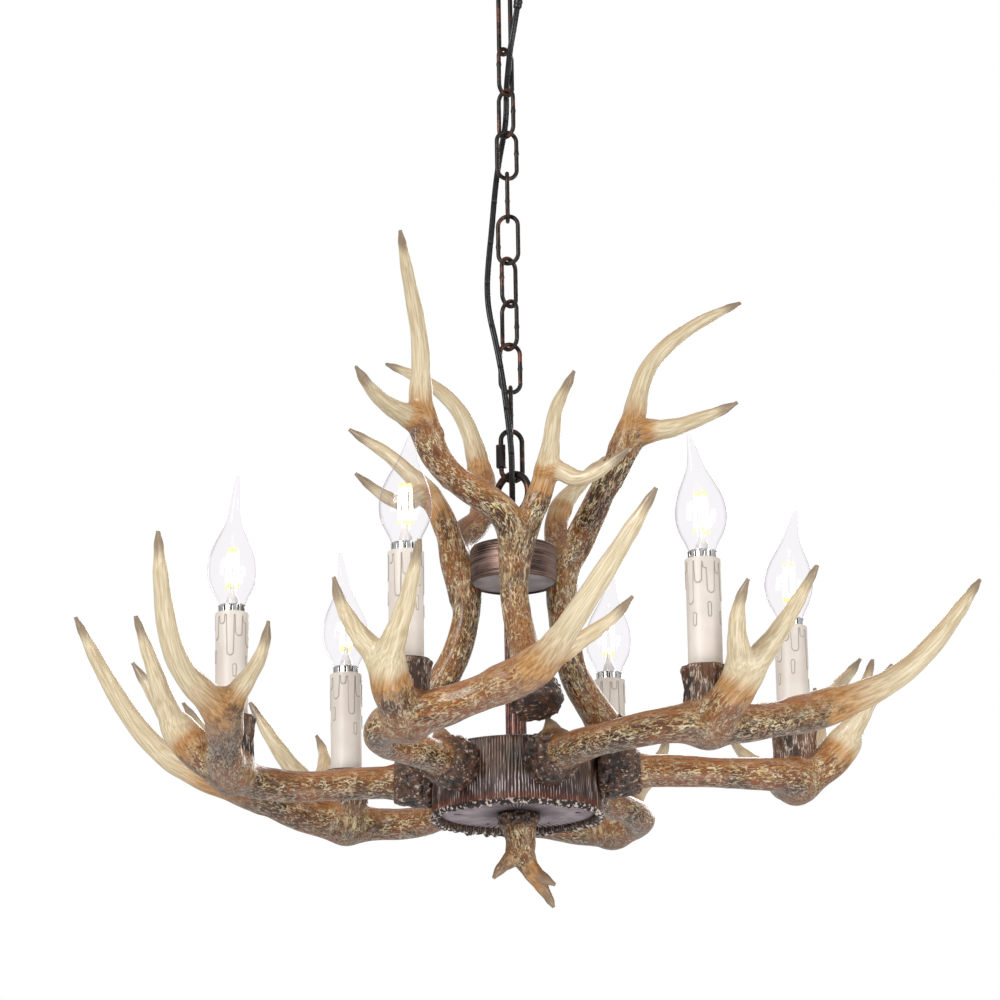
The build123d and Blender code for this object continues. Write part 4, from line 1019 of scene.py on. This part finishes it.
def filament(i, centre):
    """Four upright filament rods, 27 mm long and joined in turn, yellow at their ends, and the
    flared glass stem that they stand on."""
    base, sides = HOLDER_TOP + 14.0, 8
    ends = np.linspace(-1.0, 1.0, 16)
    rods = [np.linspace(4.6 * facing(turn), 3.4 * facing(turn) + 27.0 * Z_AXIS, len(ends))
            for turn in (0.0, 90.0, 180.0, 270.0)]
    path = np.vstack([rods[0], rods[1][::-1], rods[2], rods[3][::-1]])
    path = turned(path, ARM_TURNS[i] * 1.7) + (centre[0], centre[1], base)
    points, faces = tube(path, 0.95, sides, np.array([0.31, 0.9, 0.2]))
    middle = np.r_[np.repeat(np.tile(ease(np.abs(ends), 1.0, 0.5), len(rods)), sides), 0.0, 0.0]
    make_piece(f"filament_{i + 1}", points, faces, filament_glow, f"bulb_{i + 1}", slot="lamp_glass",
               fields={"rod_middle": middle})
    stem = densify([(0.05, -13.5), (4.6, -13.5), (4.2, -9.0), (1.9, -4.0), (1.5, 3.0), (2.1, 4.2),
                    (1.2, 5.4), (0.05, 5.6)], 1.0) + (0.0, base)
    make_piece(f"bulb_stem_{i + 1}", *lathe(stem, 20, centre), stem_glass, f"bulb_{i + 1}", slot="lamp_glass")


def lamp_collar(i, centre):
    """The lampholder's bright collar: a thin ring with twelve upright slots pressed into it."""
    foot, top = SLEEVE_TOP - 1.5, HOLDER_TOP
    profile = densify([(9.0, foot), (9.75, foot), (9.75, top - 0.6), (10.0, top - 0.3), (9.75, top),
                       (9.0, top)], 0.6)

    def relief(angle, radius, height):
        slot = ease(np.cos(angle * 12.0), 0.72, 0.9) * ease(height, foot + 1.6, foot + 2.1)
        return -0.9 * (slot * ease(height, top - 0.9, top - 1.4)) * ease(radius, 9.3, 9.6)

    make_piece(f"lamp_collar_{i + 1}", *lathe(profile, 192, centre, relief), chrome, "fixture",
               slot="lampholder")


for i, turn in enumerate(ARM_TURNS):
    for make in (candle_cup, candle_sleeve, flame_glass, filament, lamp_collar):
        make(i, CUP_REACH * facing(turn))


# ---- floor, backdrop and light
def stage():
    """A pale floor far below, and a world that is white to the camera and soft grey to the object."""
    reach, low = 6.0, -2.2   # metres
    mesh = bpy.data.meshes.new("floor")
    corners = [(-reach, -reach, low), (reach, -reach, low), (reach, reach, low), (-reach, reach, low)]
    mesh.from_pydata(corners, [], [(0, 1, 2, 3)])
    floor = in_scene("floor", mesh)
    material, shader = new_material("pale_floor")
    feed(shader, {"Base Color": "#eeeeee", "Roughness": 0.8})
    dress(floor, material)
    world = bpy.data.worlds.new("studio")
    world.use_nodes = True
    bpy.context.scene.world = world
    rays = add(world, "rays").node.outputs
    seen = add(world, "larger", rays["Is Camera Ray"], rays["Is Transmission Ray"])
    feed(world.node_tree.nodes["Background"], {
        "Color": "#ffffff", "Strength": add(world, "remap", seen, 0.0, 1.0, 0.55, 1.0)})


def area_light(name, place, height, size, watts):
    """A square white lamp that faces the rod's axis at a height, all in metres."""
    light = bpy.data.lights.new(name, "AREA")
    light.energy, light.size = watts, size
    away = unit(np.array(place) - (0.0, 0.0, height))
    side = unit(np.cross(Z_AXIS, away))
    set_axes(in_scene(name, light), side, np.cross(away, side), away, place)


stage()
area_light("key", (-1.5, -1.9, 0.3), -0.6, 0.9, 34.0)
area_light("fill", (1.9, -1.5, -0.5), -0.6, 1.1, 16.0)
area_light("under", (0.3, -1.2, -1.9), -0.65, 0.9, 9.0)
area_light("back", (0.5, 1.9, 0.2), -0.5, 1.0, 16.0)
bpy.context.scene.view_settings.view_transform = "Standard"
